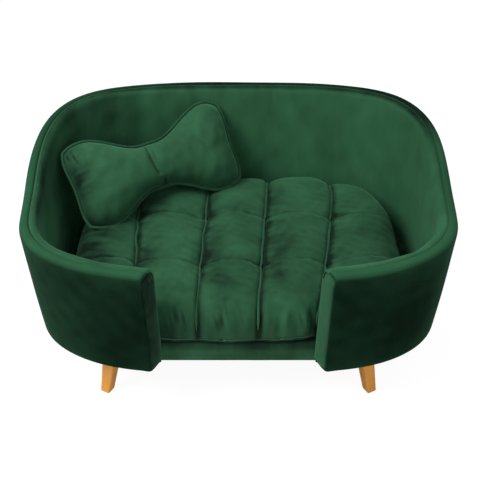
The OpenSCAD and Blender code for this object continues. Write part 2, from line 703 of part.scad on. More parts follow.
// The pillow's long axis and the direction across it, which rolls along the twist
pillow_along = [
    cos(pillow_pitch) * cos(pillow_yaw), cos(pillow_pitch) * sin(pillow_yaw), sin(pillow_pitch)
];
pillow_level = [-sin(pillow_yaw), cos(pillow_yaw), 0];
pillow_above = cross(pillow_along, pillow_level);
function pillow_turn(p) = let (
    roll = pillow_lean + pillow_twist * p.x / (pillow_w / 2),
    across = cos(roll) * pillow_level + sin(roll) * pillow_above,
    out = cross(pillow_along, across)
) p.x * pillow_along + p.y * across + p.z * out;

// Where the pillow lies: against the left and back walls, and down on the cushion
ps_shares = both_sides([0.07, 0.14, 0.3, 0.48, 0.64, 0.78, 0.89, 0.96, 1]);
pt_shares = both_sides([0.3, 0.58, 0.8, 0.94, 1]);
// Shares of the stations round the pillow's edge seam
edge_loop = concat(
    [for (i = [0 : len(ps_shares) - 2]) [ps_shares[i], -1]],
    [for (j = [0 : len(pt_shares) - 2]) [1, pt_shares[j]]],
    [for (i = [len(ps_shares) - 1 : -1 : 1]) [ps_shares[i], 1]],
    [for (j = [len(pt_shares) - 1 : -1 : 1]) [-1, pt_shares[j]]]
);
pillow_pipe_r = pillow_pipe_d / 2;
pillow_skin = concat(
    [for (side = [-1, 1]) for (s = ps_shares) for (t = pt_shares)
        pillow_turn(pillow_local(s, t, side, 0))],
    [for (q = edge_loop) for (k = [-1, 0, 1])
        pillow_turn(pillow_local(q[0], q[1], 1, -pillow_pipe_r * (2 - abs(k)) - fit_gap)
            + [0, 0, k * pillow_pipe_r])]
);
pillow_low = min([for (p = pillow_skin) p.z]);
function over_cushion(p) = cushion_seam_z + cushion_crown_h + p.z - pillow_low;
function inner_b(z) = base_b - wall_t + lean * (z - underside_h);
function inner_a(z) = base_a - wall_t + lean * (z - underside_h);
function wall_y(x, z) = plan_y
    + inner_b(z) * pow(max(0, 1 - pow(min(1, abs(x) / inner_a(z)), plan_power)), 1 / plan_power);
pillow_x = max([for (p = pillow_skin) -inner_a(over_cushion(p)) - p.x]) + pillow_side_gap;
pillow_y = min([for (p = pillow_skin) wall_y(pillow_x + p.x, over_cushion(p)) - p.y]) - pillow_wall_gap;
pillow_z = max([for (p = pillow_skin) cushion_height(pillow_x + p.x, pillow_y + p.y) - p.z]) + 3 * fit_gap;
pillow_place = [pillow_x, pillow_y, pillow_z];
function pillow_grid(side, s_list, t_list, inset) = [for (s = s_list) [for (t = t_list)
    pillow_place + pillow_turn(pillow_local(s, t, side, inset))]];

pillow_fill_s_shares = both_sides([0.2, 0.5, 0.75, 0.93, 1]);
pillow_fill_t_shares = both_sides([0.55, 0.88, 1]);
module pillow_core(inset) padded_form(
    pillow_grid(1, pillow_fill_s_shares, pillow_fill_t_shares, inset),
    pillow_grid(-1, pillow_fill_s_shares, pillow_fill_t_shares, inset)
);
module pillow_cover() color(velvet) difference() {
    padded_form(pillow_grid(1, ps_shares, pt_shares, 0), pillow_grid(-1, ps_shares, pt_shares, 0));
    pillow_core(2 * pillow_cover_t);
}
module pillow_filling() color(wadding) pillow_core(2 * pillow_cover_t + fit_gap);

// Piping cord round the pillow's edge seam
function loop_point(i) = let (
    q = edge_loop[(i + len(edge_loop)) % len(edge_loop)]
) pillow_place + pillow_turn(pillow_local(q[0], q[1], 1, 0));
function loop_frame(i) = let (
    along = loop_point(i + 1) - loop_point(i - 1),
    up = cross(pillow_turn([0, 0, 1]), along),
    side = -up / norm(up),
    through = cross(side, along)
) [loop_point(i) + (pillow_pipe_r + fit_gap) * side, side, through / norm(through)];
module pillow_piping() color(velvet_dark)
    tube([for (i = [0 : len(edge_loop) - 1]) loop_frame(i)], pillow_pipe_r, true);

base_panel();
dust_cover();
front_rail();
rail_padding();
deck_foam();
deck_cover();
wall_core();
left_arm_post();
right_arm_post();
outer_padding();
inner_padding();
rim_padding();
arm_end_padding();
outer_cover();
inner_cover();
left_arm_facing();
right_arm_facing();
cover_staples();
tee_nuts();
hanger_bolts();
front_left_leg();
front_right_leg();
back_left_leg();
back_right_leg();
foot_pads();
cushion_cover();
cushion_filling();
cushion_piping();
pillow_cover();
pillow_filling();
pillow_piping();
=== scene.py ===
"""Velvet dog sofa bed: the tub's covers, the channelled cushion, the bone pillow, the legs and the stage.

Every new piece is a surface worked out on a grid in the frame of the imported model, in metres.
"""

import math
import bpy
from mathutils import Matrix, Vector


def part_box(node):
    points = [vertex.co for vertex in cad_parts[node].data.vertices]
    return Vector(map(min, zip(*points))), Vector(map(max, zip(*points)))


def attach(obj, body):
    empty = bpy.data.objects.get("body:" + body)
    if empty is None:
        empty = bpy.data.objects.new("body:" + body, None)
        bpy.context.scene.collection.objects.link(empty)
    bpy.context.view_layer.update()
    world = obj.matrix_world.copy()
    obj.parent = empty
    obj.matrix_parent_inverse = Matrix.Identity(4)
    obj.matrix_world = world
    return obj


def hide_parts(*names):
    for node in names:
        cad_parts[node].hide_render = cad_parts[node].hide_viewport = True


bl_info = {
    "name": "Velvet dog sofa bed",
    "version": (1, 0, 0),
    "blender": (4, 5, 0),
    "location": "3D View > Sidebar > Dog sofa",
    "description": "Dresses the dog sofa's frame with velvet covers, piping, legs and a stage",
    "category": "Object",
}

import bmesh
import bpy
import numpy as np
from mathutils import Vector, geometry

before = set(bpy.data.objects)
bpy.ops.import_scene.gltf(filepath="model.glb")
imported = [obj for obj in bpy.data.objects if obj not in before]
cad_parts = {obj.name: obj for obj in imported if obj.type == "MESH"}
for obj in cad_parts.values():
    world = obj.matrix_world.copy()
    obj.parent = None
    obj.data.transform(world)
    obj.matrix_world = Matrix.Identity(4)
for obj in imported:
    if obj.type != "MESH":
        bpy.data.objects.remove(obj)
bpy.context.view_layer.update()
TAU = 2 * math.pi
WHITE = (1.0, 1.0, 1.0, 1.0)
WELD = 1e-6

# The tub, as the frame has it
RIM_WIDTH = 0.700
RIM_DEPTH = 0.477
BACK_HEIGHT = 0.395
ARM_HEIGHT = 0.297
UNDERSIDE = 0.100
PLAN_POWER = 2.9
LEAN = math.tan(math.radians(3.8))
SWEEP_FRONT = -0.32
SWEEP_BACK = 0.90
WALL = 0.028
VELVET = 0.0012
ENTRANCE = 0.267
ARM_SLANT = 0.0125
SEAM_IN = 0.0165
HEM_WIDTH = 0.022
HEM_Z = 0.1013
PANEL_TOP = 0.1145
DECK_Z = 0.136
RAIL_SETBACK = 0.035
RAIL_EDGE = 0.006
FACING_GAP = 0.001
DUST_INSET = 0.012
DUST_T = 0.0007

# How the covers are drawn in along the rim's seam and at the arms' ends
CREASE_WIDTH = 0.0018
CREASE_END = 0.012
OUTER_END_ROUND = 0.0028
LINING_END_ROUND = 0.0050
LINING_TURN_IN = 0.009

# The cushion, as the frame has it
CUSHION_SIDE_GAP = 0.027
CUSHION_BACK_GAP = 0.004
CUSHION_OVERHANG = 0.008
CUSHION_SEAM_HEIGHT = 0.010
CUSHION_SEAM_Z = DECK_Z + 0.0003 + CUSHION_SEAM_HEIGHT
CUSHION_CROWN = 0.081
CUSHION_RISE = 0.014
EDGE_PULL = 0.004
SEAMS = np.array([-0.6, -0.2, 0.2, 0.6])
SEAMS_FRONT = np.array([-0.563, -0.229, 0.104, 0.448])
SEAMS_BACK = np.array([-0.667, -0.191, 0.201, 0.648])
TUCKS = np.array([-0.39, 0.28])
CHANNEL_HALF = 0.2
ROW_HALF = 0.33
END_ROUND = 0.2
SIDE_ROUND = 0.26
TOP_POWER = 16

# Dark patches on the cushion, of pile brushed flat and of painted shadow under the pillow: x, y, half width,
# half depth and share
BRUSHED_AND_SHADED = (
    (0.066, 0.095, 0.015, 0.026, 0.34),
    (0.068, -0.045, 0.024, 0.048, 0.42),
    (0.060, -0.125, 0.016, 0.024, 0.24),
    (-0.046, -0.060, 0.018, 0.036, 0.44),
    (-0.025, -0.135, 0.025, 0.028, 0.32),
    # This patch and the last one are painted shadow under the pillow.
    (-0.150, 0.068, 0.022, 0.020, 0.42),
    (-0.150, -0.065, 0.016, 0.030, 0.46),
    (-0.110, -0.215, 0.016, 0.040, 0.34),
    (-0.046, 0.090, 0.014, 0.028, 0.40),
)

# The bone pillow, as the frame has it
PILLOW_WIDTH = 0.313
PILLOW_LOBE = 0.153
PILLOW_WAIST = 0.076
PILLOW_LOBE_T = 0.076
PILLOW_WAIST_T = 0.062
PILLOW_NOTCH = 0.012
PILLOW_TUCK = 0.006
PILLOW_ROUND = 0.09
PILLOW_LOBE_ROUND = 0.14
PILLOW_YAW = math.radians(27.5)
PILLOW_PITCH = math.radians(5)
PILLOW_LEAN = math.radians(51.5)
PILLOW_TWIST = math.radians(7.5)

# The legs, as the frame has them
LEG_TOP = 0.026
LEG_FOOT = 0.017
LEG_SPLAY_X = 0.019
LEG_SPLAY_Y = 0.009
LEG_TURN = math.radians(28)
LEG_INSET_X = 0.133
LEG_INSET_Y = 0.074
LEG_HEAD_Z = 0.1024
FOOT_PAD_T = 0.002
FOOT_PAD_R = 0.0065


# Shapes of the tub

def signed_power(value, power):
    """The value's size to a power, with the value's own sign."""
    return np.sign(value) * np.abs(value) ** power


def smooth_step(value):
    """3u^2 - 2u^3, from 0 to 1."""
    share = np.clip(value, 0, 1)
    return share * share * (3 - 2 * share)


def above(value, start, span):
    """0 up to start, and smoothly 1 from a span above it."""
    return smooth_step((value - start) / span)


def below(value, start, span):
    """0 down to start, and smoothly 1 from a span below it."""
    return smooth_step((start - value) / span)


def bell(value, width):
    """e^-(v / w)^2: 1 at nothing and small past the width."""
    return np.exp(-((value / width) ** 2))


def unit(ways):
    """The directions, each at length 1."""
    return ways / np.linalg.norm(ways, axis=-1, keepdims=True)


SIDE_RISE = float(smooth_step(-SWEEP_FRONT / (SWEEP_BACK - SWEEP_FRONT)))
SIDE_HEIGHT = ARM_HEIGHT + (BACK_HEIGHT - ARM_HEIGHT) * SIDE_RISE
PLAN_A = RIM_WIDTH / 2 - LEAN * (SIDE_HEIGHT - UNDERSIDE)
PLAN_B = (RIM_DEPTH - LEAN * (ARM_HEIGHT + BACK_HEIGHT - 2 * UNDERSIDE)) / 2


def front_angle(x):
    """Angle on the right front of the oval plan at a distance x from the middle."""
    return -np.arccos((x / PLAN_A) ** (PLAN_POWER / 2))


def plan_normal(angle):
    """Unit normal of the plan: the superellipse's gradient at that angle."""
    nx = signed_power(np.cos(angle), 2 - 2 / PLAN_POWER) / PLAN_A
    ny = signed_power(np.sin(angle), 2 - 2 / PLAN_POWER) / PLAN_B
    size = np.hypot(nx, ny)
    return nx / size, ny / size


ARM_ANGLE = front_angle(ENTRANCE / 2)
ARM_REACH = (PLAN_B * (-np.sin(ARM_ANGLE)) ** (2 / PLAN_POWER)
             - plan_normal(ARM_ANGLE)[1] * LEAN * (ARM_HEIGHT - UNDERSIDE))
BACK_REACH = PLAN_B + LEAN * (BACK_HEIGHT - UNDERSIDE)
PLAN_Y = float(ARM_REACH - BACK_REACH) / 2
RAIL_Y = PLAN_Y - PLAN_B + RAIL_SETBACK


def plan_point(angle):
    """The superellipse (a cos^(2/p), b sin^(2/p)), each power with its own sign."""
    return (PLAN_A * signed_power(np.cos(angle), 2 / PLAN_POWER),
            PLAN_Y + PLAN_B * signed_power(np.sin(angle), 2 / PLAN_POWER))


def rim_height(angle):
    """The rim sweeps up smoothly from the arms' height to the back's."""
    share = signed_power(np.sin(angle), 2 / PLAN_POWER)
    rise = smooth_step((share - SWEEP_FRONT) / (SWEEP_BACK - SWEEP_FRONT))
    return ARM_HEIGHT + (BACK_HEIGHT - ARM_HEIGHT) * rise


def wall_point(angle, z, depth):
    """The plan's point moved along its normal, out by the wall's lean and in by the depth."""
    x, y = plan_point(angle)
    nx, ny = plan_normal(angle)
    out = LEAN * (z - UNDERSIDE) - depth
    return np.stack([x + nx * out, y + ny * out, z + 0 * x], axis=-1)


def end_x(depth):
    """Distance from the middle to an arm end's surface, which slants with depth."""
    return ENTRANCE / 2 - ARM_SLANT * depth / WALL


ANGLES = np.linspace(-math.pi / 2, 1.5 * math.pi, 36001)
ARC = np.concatenate([[0], np.cumsum(np.hypot(*(np.diff(c) for c in plan_point(ANGLES))))])


def stations(share, depth):
    """Angles at shares of the arc from the right arm's end to the left one, and the arc to the nearer end."""
    start = np.interp(front_angle(end_x(depth)), ANGLES, ARC)
    span = ARC[-1] - 2 * start
    angle = np.interp(start + share * span, ARC, ANGLES)
    return angle, np.minimum(share, 1 - share) * span


# Shapes in general

def ripples(points, wavelength, seed, waves=9):
    """Smooth unevenness of about -1 to 1: sine waves in seeded directions at about one wavelength, summed."""
    rng = np.random.default_rng(seed)
    ways = unit(rng.normal(size=(waves, 3)))
    numbers = TAU / wavelength * rng.uniform(0.7, 1.4, waves)
    phases = rng.uniform(0, TAU, waves)
    total = 0
    for way, number, phase in zip(ways, numbers, phases):
        total = total + np.sin(points @ way * number + phase)
    return total / math.sqrt(waves)


def row_of_folds(along, wavelength, seed, waves=6):
    """The same unevenness on one coordinate, for folds side by side."""
    return ripples(np.stack([along, 0 * along, 0 * along], axis=-1), wavelength, seed, waves)


def grid_normals(points):
    """Unit normals of a grid of points: the cross product of its two directions."""
    normals = np.cross(np.gradient(points, axis=0), np.gradient(points, axis=1))
    return normals / np.maximum(np.linalg.norm(normals, axis=-1, keepdims=True), 1e-12)


def arc_of(points):
    """Length along the second direction of a grid of points, from its first column."""
    steps = np.linalg.norm(np.diff(points, axis=1), axis=-1)
    return np.concatenate([np.zeros((len(points), 1)), np.cumsum(steps, axis=1)], axis=1)


def grid_quads(rows, columns, wrap_rows=False, wrap_columns=False):
    """Quads of a grid whose normals point along the cross product of its two directions."""
    i, j = np.meshgrid(np.arange(rows if wrap_rows else rows - 1),
                       np.arange(columns if wrap_columns else columns - 1), indexing="ij")
    i_next, j_next = (i + 1) % rows, (j + 1) % columns
    corners = [i * columns + j, i_next * columns + j, i_next * columns + j_next, i * columns + j_next]
    return np.stack(corners, axis=-1).reshape(-1, 4)


def thick_sheet(points, normals, thickness):
    """A closed sheet: the grid, the same grid moved in by the thickness, and strips round the border."""
    rows, columns = points.shape[:2]
    count = rows * columns
    inner = points - normals * thickness
    top = grid_quads(rows, columns)
    i = np.arange(rows - 1)
    j = np.arange(columns - 1)
    first_column = np.stack([i * columns, i * columns + count,
                             (i + 1) * columns + count, (i + 1) * columns], axis=-1)
    last_column = first_column[:, ::-1] + columns - 1
    first_row = np.stack([j, j + 1, j + 1 + count, j + count], axis=-1)
    last_row = first_row[:, ::-1] + (rows - 1) * columns
    quads = np.concatenate([top, top[:, ::-1] + count, first_column, last_column, first_row, last_row])
    return np.concatenate([points.reshape(-1, 3), inner.reshape(-1, 3)]), quads


def tube(path, radius, closed, sides=14, up=(0.0, 0.0, 1.0)):
    """Circles of a radius carried along a path, on frames made from its tangent and an up direction."""
    if closed:
        along = np.roll(path, -1, axis=0) - np.roll(path, 1, axis=0)
    else:
        along = np.gradient(path, axis=0)
    along = unit(along)
    side = unit(np.cross(along, np.broadcast_to(up, path.shape)))
    lift = np.cross(side, along)
    turn = (np.arange(sides) * TAU / sides)[None, :, None]
    ring = np.cos(turn) * side[:, None, :] + np.sin(turn) * lift[:, None, :]
    points = path[:, None, :] + np.broadcast_to(radius, (len(path),))[:, None, None] * ring
    return points, grid_quads(len(path), sides, closed, True)


def rings_inward(loop, centres, drop, shares):
    """Rings from a closed loop towards a centre for each of its points, moved by drop at each share."""
    return loop[None] + (centres - loop)[None] * shares[:, None, None] + drop


def joined(parts):
    """Several grids' points and faces as those of one mesh."""
    points, faces, start = [], [], 0
    for part_points, part_faces in parts:
        points.append(part_points.reshape(-1, 3))
        faces.append(part_faces + start)
        start += len(points[-1])
    return np.concatenate(points), np.concatenate(faces)


def make_piece(name, points, faces, body, material, replaced, weld=None, pile=None, smooth=True):
    """A mesh object at the origin that rides on a body and stands for frame nodes.

    weld is the distance within which points are merged. pile gives each point a share added to the velvet's
    colour: mostly painted light and shade, with some of the pile's own tone; it is darker where negative.
    """
    mesh = bpy.data.meshes.new(name)
    faces = faces if isinstance(faces, list) else faces.tolist()
    mesh.from_pydata(np.asarray(points).reshape(-1, 3).tolist(), [], faces)
    # The pile attribute is mostly painted light and shade, with some of the velvet's own tone.
    if pile is not None:
        attribute = mesh.attributes.new("pile", "FLOAT", "POINT")
        attribute.data.foreach_set("value", np.ravel(pile).astype(np.float32))
    if weld is not None:
        work = bmesh.new()
        work.from_mesh(mesh)
        bmesh.ops.remove_doubles(work, verts=work.verts, dist=weld)
        bmesh.ops.recalc_face_normals(work, faces=work.faces)
        work.to_mesh(mesh)
        work.free()
    if smooth:
        mesh.polygons.foreach_set("use_smooth", np.ones(len(mesh.polygons), bool))
    mesh.update()
    piece = bpy.data.objects.new(name, mesh)
    bpy.context.scene.collection.objects.link(piece)
    mesh.materials.append(material)
    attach(piece, body)
    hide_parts(*replaced)
    return piece


# Materials

def feed(tree, socket, value):
    """Links a socket to another node's, or sets it where the value is a plain one."""
    if isinstance(value, bpy.types.NodeSocket):
        tree.links.new(value, socket)
    else:
        socket.default_value = value


def add_node(tree, kind, settings=None, **sockets):
    """A node with its settings, and its sockets set or linked; an underscore stands for a space."""
    node = tree.nodes.new(kind)
    for name, value in (settings or {}).items():
        setattr(node, name, value)
    for name, value in sockets.items():
        feed(tree, node.inputs[name.replace("_", " ")], value)
    return node


def finish_with(tree, shader, **sockets):
    """Sets or links the shader's own sockets; an underscore stands for a space."""
    for name, value in sockets.items():
        feed(tree, shader.inputs[name.replace("_", " ")], value)


def mix_colours(tree, share, low, high):
    """A colour between low and high."""
    node = add_node(tree, "ShaderNodeMix", {"data_type": "RGBA"})
    for index, value in ((0, share), (6, low), (7, high)):
        feed(tree, node.inputs[index], value)
    return node.outputs[2]


def mix_shaders(tree, share, first, second, output):
    """The first shader with a share of the second, linked to the output's surface."""
    node = add_node(tree, "ShaderNodeMixShader")
    for index, value in enumerate((share, first.outputs[0], second.outputs[0])):
        feed(tree, node.inputs[index], value)
    tree.links.new(node.outputs[0], tree.nodes[output].inputs["Surface"])


def noise(tree, place, scale, detail=2.0, roughness=0.5, distortion=0.0):
    """Noise of so many lumps to the metre."""
    node = add_node(tree, "ShaderNodeTexNoise", Vector=place, Scale=scale, Detail=detail,
                    Roughness=roughness, Distortion=distortion)
    return node.outputs[0]


def spread(tree, value, low, high, to_low=0.0, to_high=1.0):
    """The value's range from low to high stretched over another range."""
    node = add_node(tree, "ShaderNodeMapRange", {"interpolation_type": "SMOOTHSTEP"}, Value=value,
                    From_Min=low, From_Max=high, To_Min=to_low, To_Max=to_high)
    return node.outputs[0]


def combine(tree, kind, first, second):
    """A Math node's result for two values."""
    node = add_node(tree, "ShaderNodeMath", {"operation": kind})
    feed(tree, node.inputs[0], first)
    feed(tree, node.inputs[1], second)
    return node.outputs[0]


def weighed(tree, total, *parts):
    """The total plus each part's value times its weight."""
    for value, weight in parts:
        total = combine(tree, "ADD", total, combine(tree, "MULTIPLY", value, weight))
    return total


def new_material(name):
    """A material with a Principled shader; returns it, its tree, the shader and the object coordinates."""
    material = bpy.data.materials.new(name)
    material.use_nodes = True
    tree = material.node_tree
    shader = tree.nodes["Principled BSDF"]
    place = tree.nodes.new("ShaderNodeTexCoord").outputs["Object"]
    return material, tree, shader, place


def stretched(tree, place, stretch, turn=(0, 0, 0)):
    """Coordinates turned and stretched, for grain and brush strokes."""
    return add_node(tree, "ShaderNodeMapping", Vector=place, Rotation=turn, Scale=stretch).outputs[0]


def bump(tree, height, distance, strength, under=None):
    """A Bump node, on another one's normal where there is one."""
    node = add_node(tree, "ShaderNodeBump", Height=height, Distance=distance, Strength=strength)
    if under is not None:
        tree.links.new(under, node.inputs["Normal"])
    return node.outputs[0]


def rgba(colour):
    """The colour with a full alpha."""
    return (*colour, 1.0)


def velvet(name, look, lift=0.0, brush_turn=(0, 0, 0), shine=1.0):
    """Cut-pile velvet: a colour between deep and lit by a share made of the piece's pile attribute, which is
    mostly painted light and shade, brushed patches, strokes and single tufts, and a painted sheen that
    lightens the colour where the cloth turns away.

    shine is below 1 for velvet brushed down, which shows less of its patches and catches less light. lift
    shifts the share over the whole piece: a lighter or darker painted copy of the same velvet.
    """
    material, tree, shader, place = new_material(name)
    brushed = stretched(tree, place, (1.0, 1.0, 0.55), brush_turn)
    patches = noise(tree, brushed, look.nap_scale, detail=4.0, roughness=0.58, distortion=0.9)
    combed = stretched(tree, place, (1.0, 1.0, 0.28), brush_turn)
    strokes = noise(tree, combed, look.nap_scale * 7, detail=4.0, roughness=0.6, distortion=0.4)
    tufts = noise(tree, place, look.pile_scale, roughness=0.6)
    # The pile attribute: mostly painted light and shade.
    pile_and_painted_shade = add_node(tree, "ShaderNodeAttribute", {"attribute_name": "pile"}).outputs["Fac"]
    # Painted sheen: lighter colour where the cloth turns away from the view.
    turned = add_node(tree, "ShaderNodeLayerWeight", Blend=0.5).outputs["Facing"]
    share = weighed(
        tree, combine(tree, "ADD", pile_and_painted_shade, look.standing + lift),
        (spread(tree, patches, 0.34, 0.68, -0.5, 0.5), look.nap_contrast * shine),
        (spread(tree, strokes, 0.32, 0.68, -0.5, 0.5), look.stroke_contrast * shine),
        (spread(tree, tufts, 0.3, 0.7, -0.5, 0.5), look.pile_contrast),
        (combine(tree, "POWER", turned, 4.0), look.painted_edge_sheen))
    crushed = bump(tree, strokes, distance=0.0012, strength=0.35)
    finish_with(tree, shader,
                Base_Color=mix_colours(tree, share, rgba(look.deep_and_shade_colour), rgba(look.lit_colour)),
                Roughness=spread(tree, strokes, 0.3, 0.7, 0.95, 0.78),
                Specular_IOR_Level=0.12 * shine,
                Sheen_Weight=look.sheen * shine,
                Sheen_Roughness=look.sheen_roughness,
                Sheen_Tint=rgba(look.sheen_tint),
                Normal=bump(tree, tufts, distance=0.0003, strength=0.5, under=crushed))
    return material


def varnished_wood(name, look):
    """Honey varnish over straight-grained wood: stretched rings and pores along the leg, under a coat."""
    material, tree, shader, place = new_material(name)
    along_rings = stretched(tree, place, (1.0, 1.0, 0.06))
    rings = noise(tree, along_rings, 210.0, detail=4.0, roughness=0.6, distortion=0.8)
    pores = noise(tree, stretched(tree, place, (1.0, 1.0, 0.03)), 1400.0, roughness=0.6)
    tone = noise(tree, place, 14.0)
    share = weighed(tree, 0.0, (spread(tree, rings, 0.35, 0.7), 0.6), (tone, 0.4))
    colour = mix_colours(tree, share, rgba(look.dark_grain), rgba(look.honey))
    finish_with(tree, shader,
                Base_Color=mix_colours(tree, spread(tree, pores, 0.62, 0.72, 0.0, 0.35), colour,
                                       rgba(look.dark_grain)),
                Roughness=spread(tree, rings, 0.3, 0.7, 0.36, 0.27),
                Coat_Weight=0.2,
                Coat_Roughness=0.18,
                Normal=bump(tree, pores, distance=0.0002, strength=0.4))
    return material


def raw_pine(name):
    """Sanded bare pine: grain along the sofa's width."""
    dark, light = (0.46, 0.27, 0.11), (0.74, 0.54, 0.31)
    material, tree, shader, place = new_material(name)
    along = stretched(tree, place, (0.1, 1.0, 1.0))
    grain = noise(tree, along, 130.0, detail=5.0, roughness=0.65, distortion=0.6)
    share = spread(tree, grain, 0.3, 0.7)
    finish_with(tree, shader,
                Base_Color=mix_colours(tree, share, rgba(dark), rgba(light)),
                Roughness=spread(tree, grain, 0.3, 0.7, 0.75, 0.6),
                Normal=bump(tree, grain, distance=0.0004, strength=0.5))
    return material


def birch_plywood(name):
    """Birch ply: flat plies of light and dark through its height, with fine grain."""
    dark, light, plies_to_the_metre = (0.36, 0.22, 0.10), (0.70, 0.52, 0.31), 420.0
    material, tree, shader, place = new_material(name)
    height = add_node(tree, "ShaderNodeSeparateXYZ", Vector=place).outputs["Z"]
    ply = combine(tree, "FRACT", combine(tree, "MULTIPLY", height, plies_to_the_metre), 0.0)
    ply = spread(tree, ply, 0.42, 0.58)
    along = stretched(tree, place, (0.12, 1.0, 1.0))
    grain = noise(tree, along, 260.0, detail=4.0, roughness=0.6, distortion=0.4)
    share = weighed(tree, 0.0, (ply, 0.4), (grain, 0.6))
    finish_with(tree, shader,
                Base_Color=mix_colours(tree, share, rgba(dark), rgba(light)),
                Roughness=spread(tree, grain, 0.3, 0.7, 0.78, 0.62),
                Normal=bump(tree, grain, distance=0.0003, strength=0.5))
    return material


def fibre_cloth(name, dark, light, scale, depth):
    """Pressed fibres, as in felt and spun-bonded cloth: crossed fine noise, slightly dimpled."""
    material, tree, shader, place = new_material(name)
    lengthwise, crosswise = (
        noise(tree, stretched(tree, place, stretch), scale, detail=3.0, roughness=0.6, distortion=0.5)
        for stretch in ((0.2, 1.0, 1.0), (1.0, 0.2, 1.0)))
    share = spread(tree, combine(tree, "MAXIMUM", lengthwise, crosswise), 0.4, 0.75)
    finish_with(tree, shader,
                Base_Color=mix_colours(tree, share, rgba(dark), rgba(light)),
                Roughness=spread(tree, share, 0.0, 1.0, 0.95, 0.82),
                Specular_IOR_Level=0.2,
                Normal=bump(tree, share, distance=depth, strength=0.6))
    return material


def zinc_plate(name):
    """Zinc-plated steel: bright metal with faint clouded plating and fine scratches."""
    dull, bright = (0.52, 0.53, 0.55), (0.72, 0.73, 0.75)
    material, tree, shader, place = new_material(name)
    clouds = noise(tree, place, 180.0, detail=3.0, roughness=0.6)
    scratches = noise(tree, stretched(tree, place, (1.0, 0.1, 1.0)), 2400.0, roughness=0.6)
    share = spread(tree, clouds, 0.35, 0.65)
    finish_with(tree, shader,
                Base_Color=mix_colours(tree, share, rgba(dull), rgba(bright)),
                Metallic=1.0,
                Roughness=spread(tree, scratches, 0.3, 0.7, 0.28, 0.45),
                Normal=bump(tree, scratches, distance=0.00005, strength=0.4))
    return material


# Settings

class VelvetSettings(bpy.types.PropertyGroup):
    """How the velvet's pile takes the light"""
    lit_colour: bpy.props.FloatVectorProperty(
        name="Lit pile", description="Colour of the pile that stands towards the light",
        default=(0.050, 0.190, 0.090), subtype="COLOR", size=3, min=0, max=1)
    # The dark end of the velvet's colour, which also stands for painted shade.
    deep_and_shade_colour: bpy.props.FloatVectorProperty(
        name="Deep pile", description="Colour of the pile that is brushed the other way",
        default=(0.0035, 0.0135, 0.0070), subtype="COLOR", size=3, min=0, max=1)
    sheen_tint: bpy.props.FloatVectorProperty(
        name="Sheen tint", description="Colour of the light that the pile's tips catch",
        default=(0.25, 0.62, 0.38), subtype="COLOR", size=3, min=0, max=1)
    sheen: bpy.props.FloatProperty(
        name="Sheen", description="Weight of the sheen", default=0.45, min=0, max=1, subtype="FACTOR")
    sheen_roughness: bpy.props.FloatProperty(
        name="Sheen roughness", description="Spread of the sheen",
        default=0.38, min=0, max=1, subtype="FACTOR")
    standing: bpy.props.FloatProperty(
        name="Standing pile", description="Share of the pile that stands to the light",
        default=0.58, min=0, max=1, subtype="FACTOR")
    # Painted sheen: how much the colour is lightened at grazing views.
    painted_edge_sheen: bpy.props.FloatProperty(
        name="Edge light", description="How much lighter the pile is where the cloth turns away",
        default=0.30, min=0, max=1, subtype="FACTOR")
    nap_scale: bpy.props.FloatProperty(
        name="Nap scale", description="Brushed patches to the metre", default=7.0, min=1, max=60)
    nap_contrast: bpy.props.FloatProperty(
        name="Nap contrast", description="Share of the colour that the patches make",
        default=0.20, min=0, max=1)
    stroke_contrast: bpy.props.FloatProperty(
        name="Stroke contrast", description="Share that the fine strokes make", default=0.08, min=0, max=1)
    pile_contrast: bpy.props.FloatProperty(
        name="Pile contrast", description="Share that the single tufts make", default=0.10, min=0, max=1)
    pile_scale: bpy.props.FloatProperty(
        name="Pile scale", description="Tufts to the metre", default=1300.0, min=100, max=4000)


class TubSettings(bpy.types.PropertyGroup):
    """The padding and covers of the tub"""
    rim_rounding: bpy.props.FloatProperty(
        name="Rim rounding", description="Radius of the rim's padded edges",
        default=0.0105, min=0.006, max=0.013, unit="LENGTH")
    arm_rounding: bpy.props.FloatProperty(
        name="Arm corners", description="Radius of the corners at an arm's end, seen from the front",
        default=0.008, min=0.003, max=0.012, unit="LENGTH")
    foot_rounding: bpy.props.FloatProperty(
        name="Foot rounding", description="Radius where the velvet turns under the base",
        default=0.006, min=0.003, max=0.010, unit="LENGTH")
    seam_crease: bpy.props.FloatProperty(
        name="Seam crease", description="Depth of the crease along the rim's seam",
        default=0.0020, min=0, max=0.006, unit="LENGTH")
    lining_puff: bpy.props.FloatProperty(
        name="Lining puff", description="How far the lining rolls over the rim's inner edge",
        default=0.0020, min=0, max=0.008, unit="LENGTH")
    unevenness: bpy.props.FloatProperty(
        name="Unevenness", description="Height of the soft waves in the padding",
        default=0.0009, min=0, max=0.003, unit="LENGTH")


class CushionSettings(bpy.types.PropertyGroup):
    """The channelled cushion"""
    channel_depth: bpy.props.FloatProperty(
        name="Channel depth", description="Depth of the piped seams below the crown",
        default=0.013, min=0.004, max=0.020, unit="LENGTH")
    groove_depth: bpy.props.FloatProperty(
        name="Groove depth", description="Depth of the narrow groove that holds a cord",
        default=0.0035, min=0, max=0.006, unit="LENGTH")
    tuck_depth: bpy.props.FloatProperty(
        name="Tuck depth", description="Depth of the sewn cross tucks",
        default=0.0075, min=0, max=0.012, unit="LENGTH")
    pucker: bpy.props.FloatProperty(
        name="Puckers", description="Height of the small folds along the seams",
        default=0.0012, min=0, max=0.003, unit="LENGTH")
    gather: bpy.props.FloatProperty(
        name="Gathers", description="Height of the upright folds round the edge",
        default=0.0032, min=0, max=0.005, unit="LENGTH")
    piping: bpy.props.FloatProperty(
        name="Piping", description="Diameter of the piping cord",
        default=0.004, min=0.002, max=0.006, unit="LENGTH")


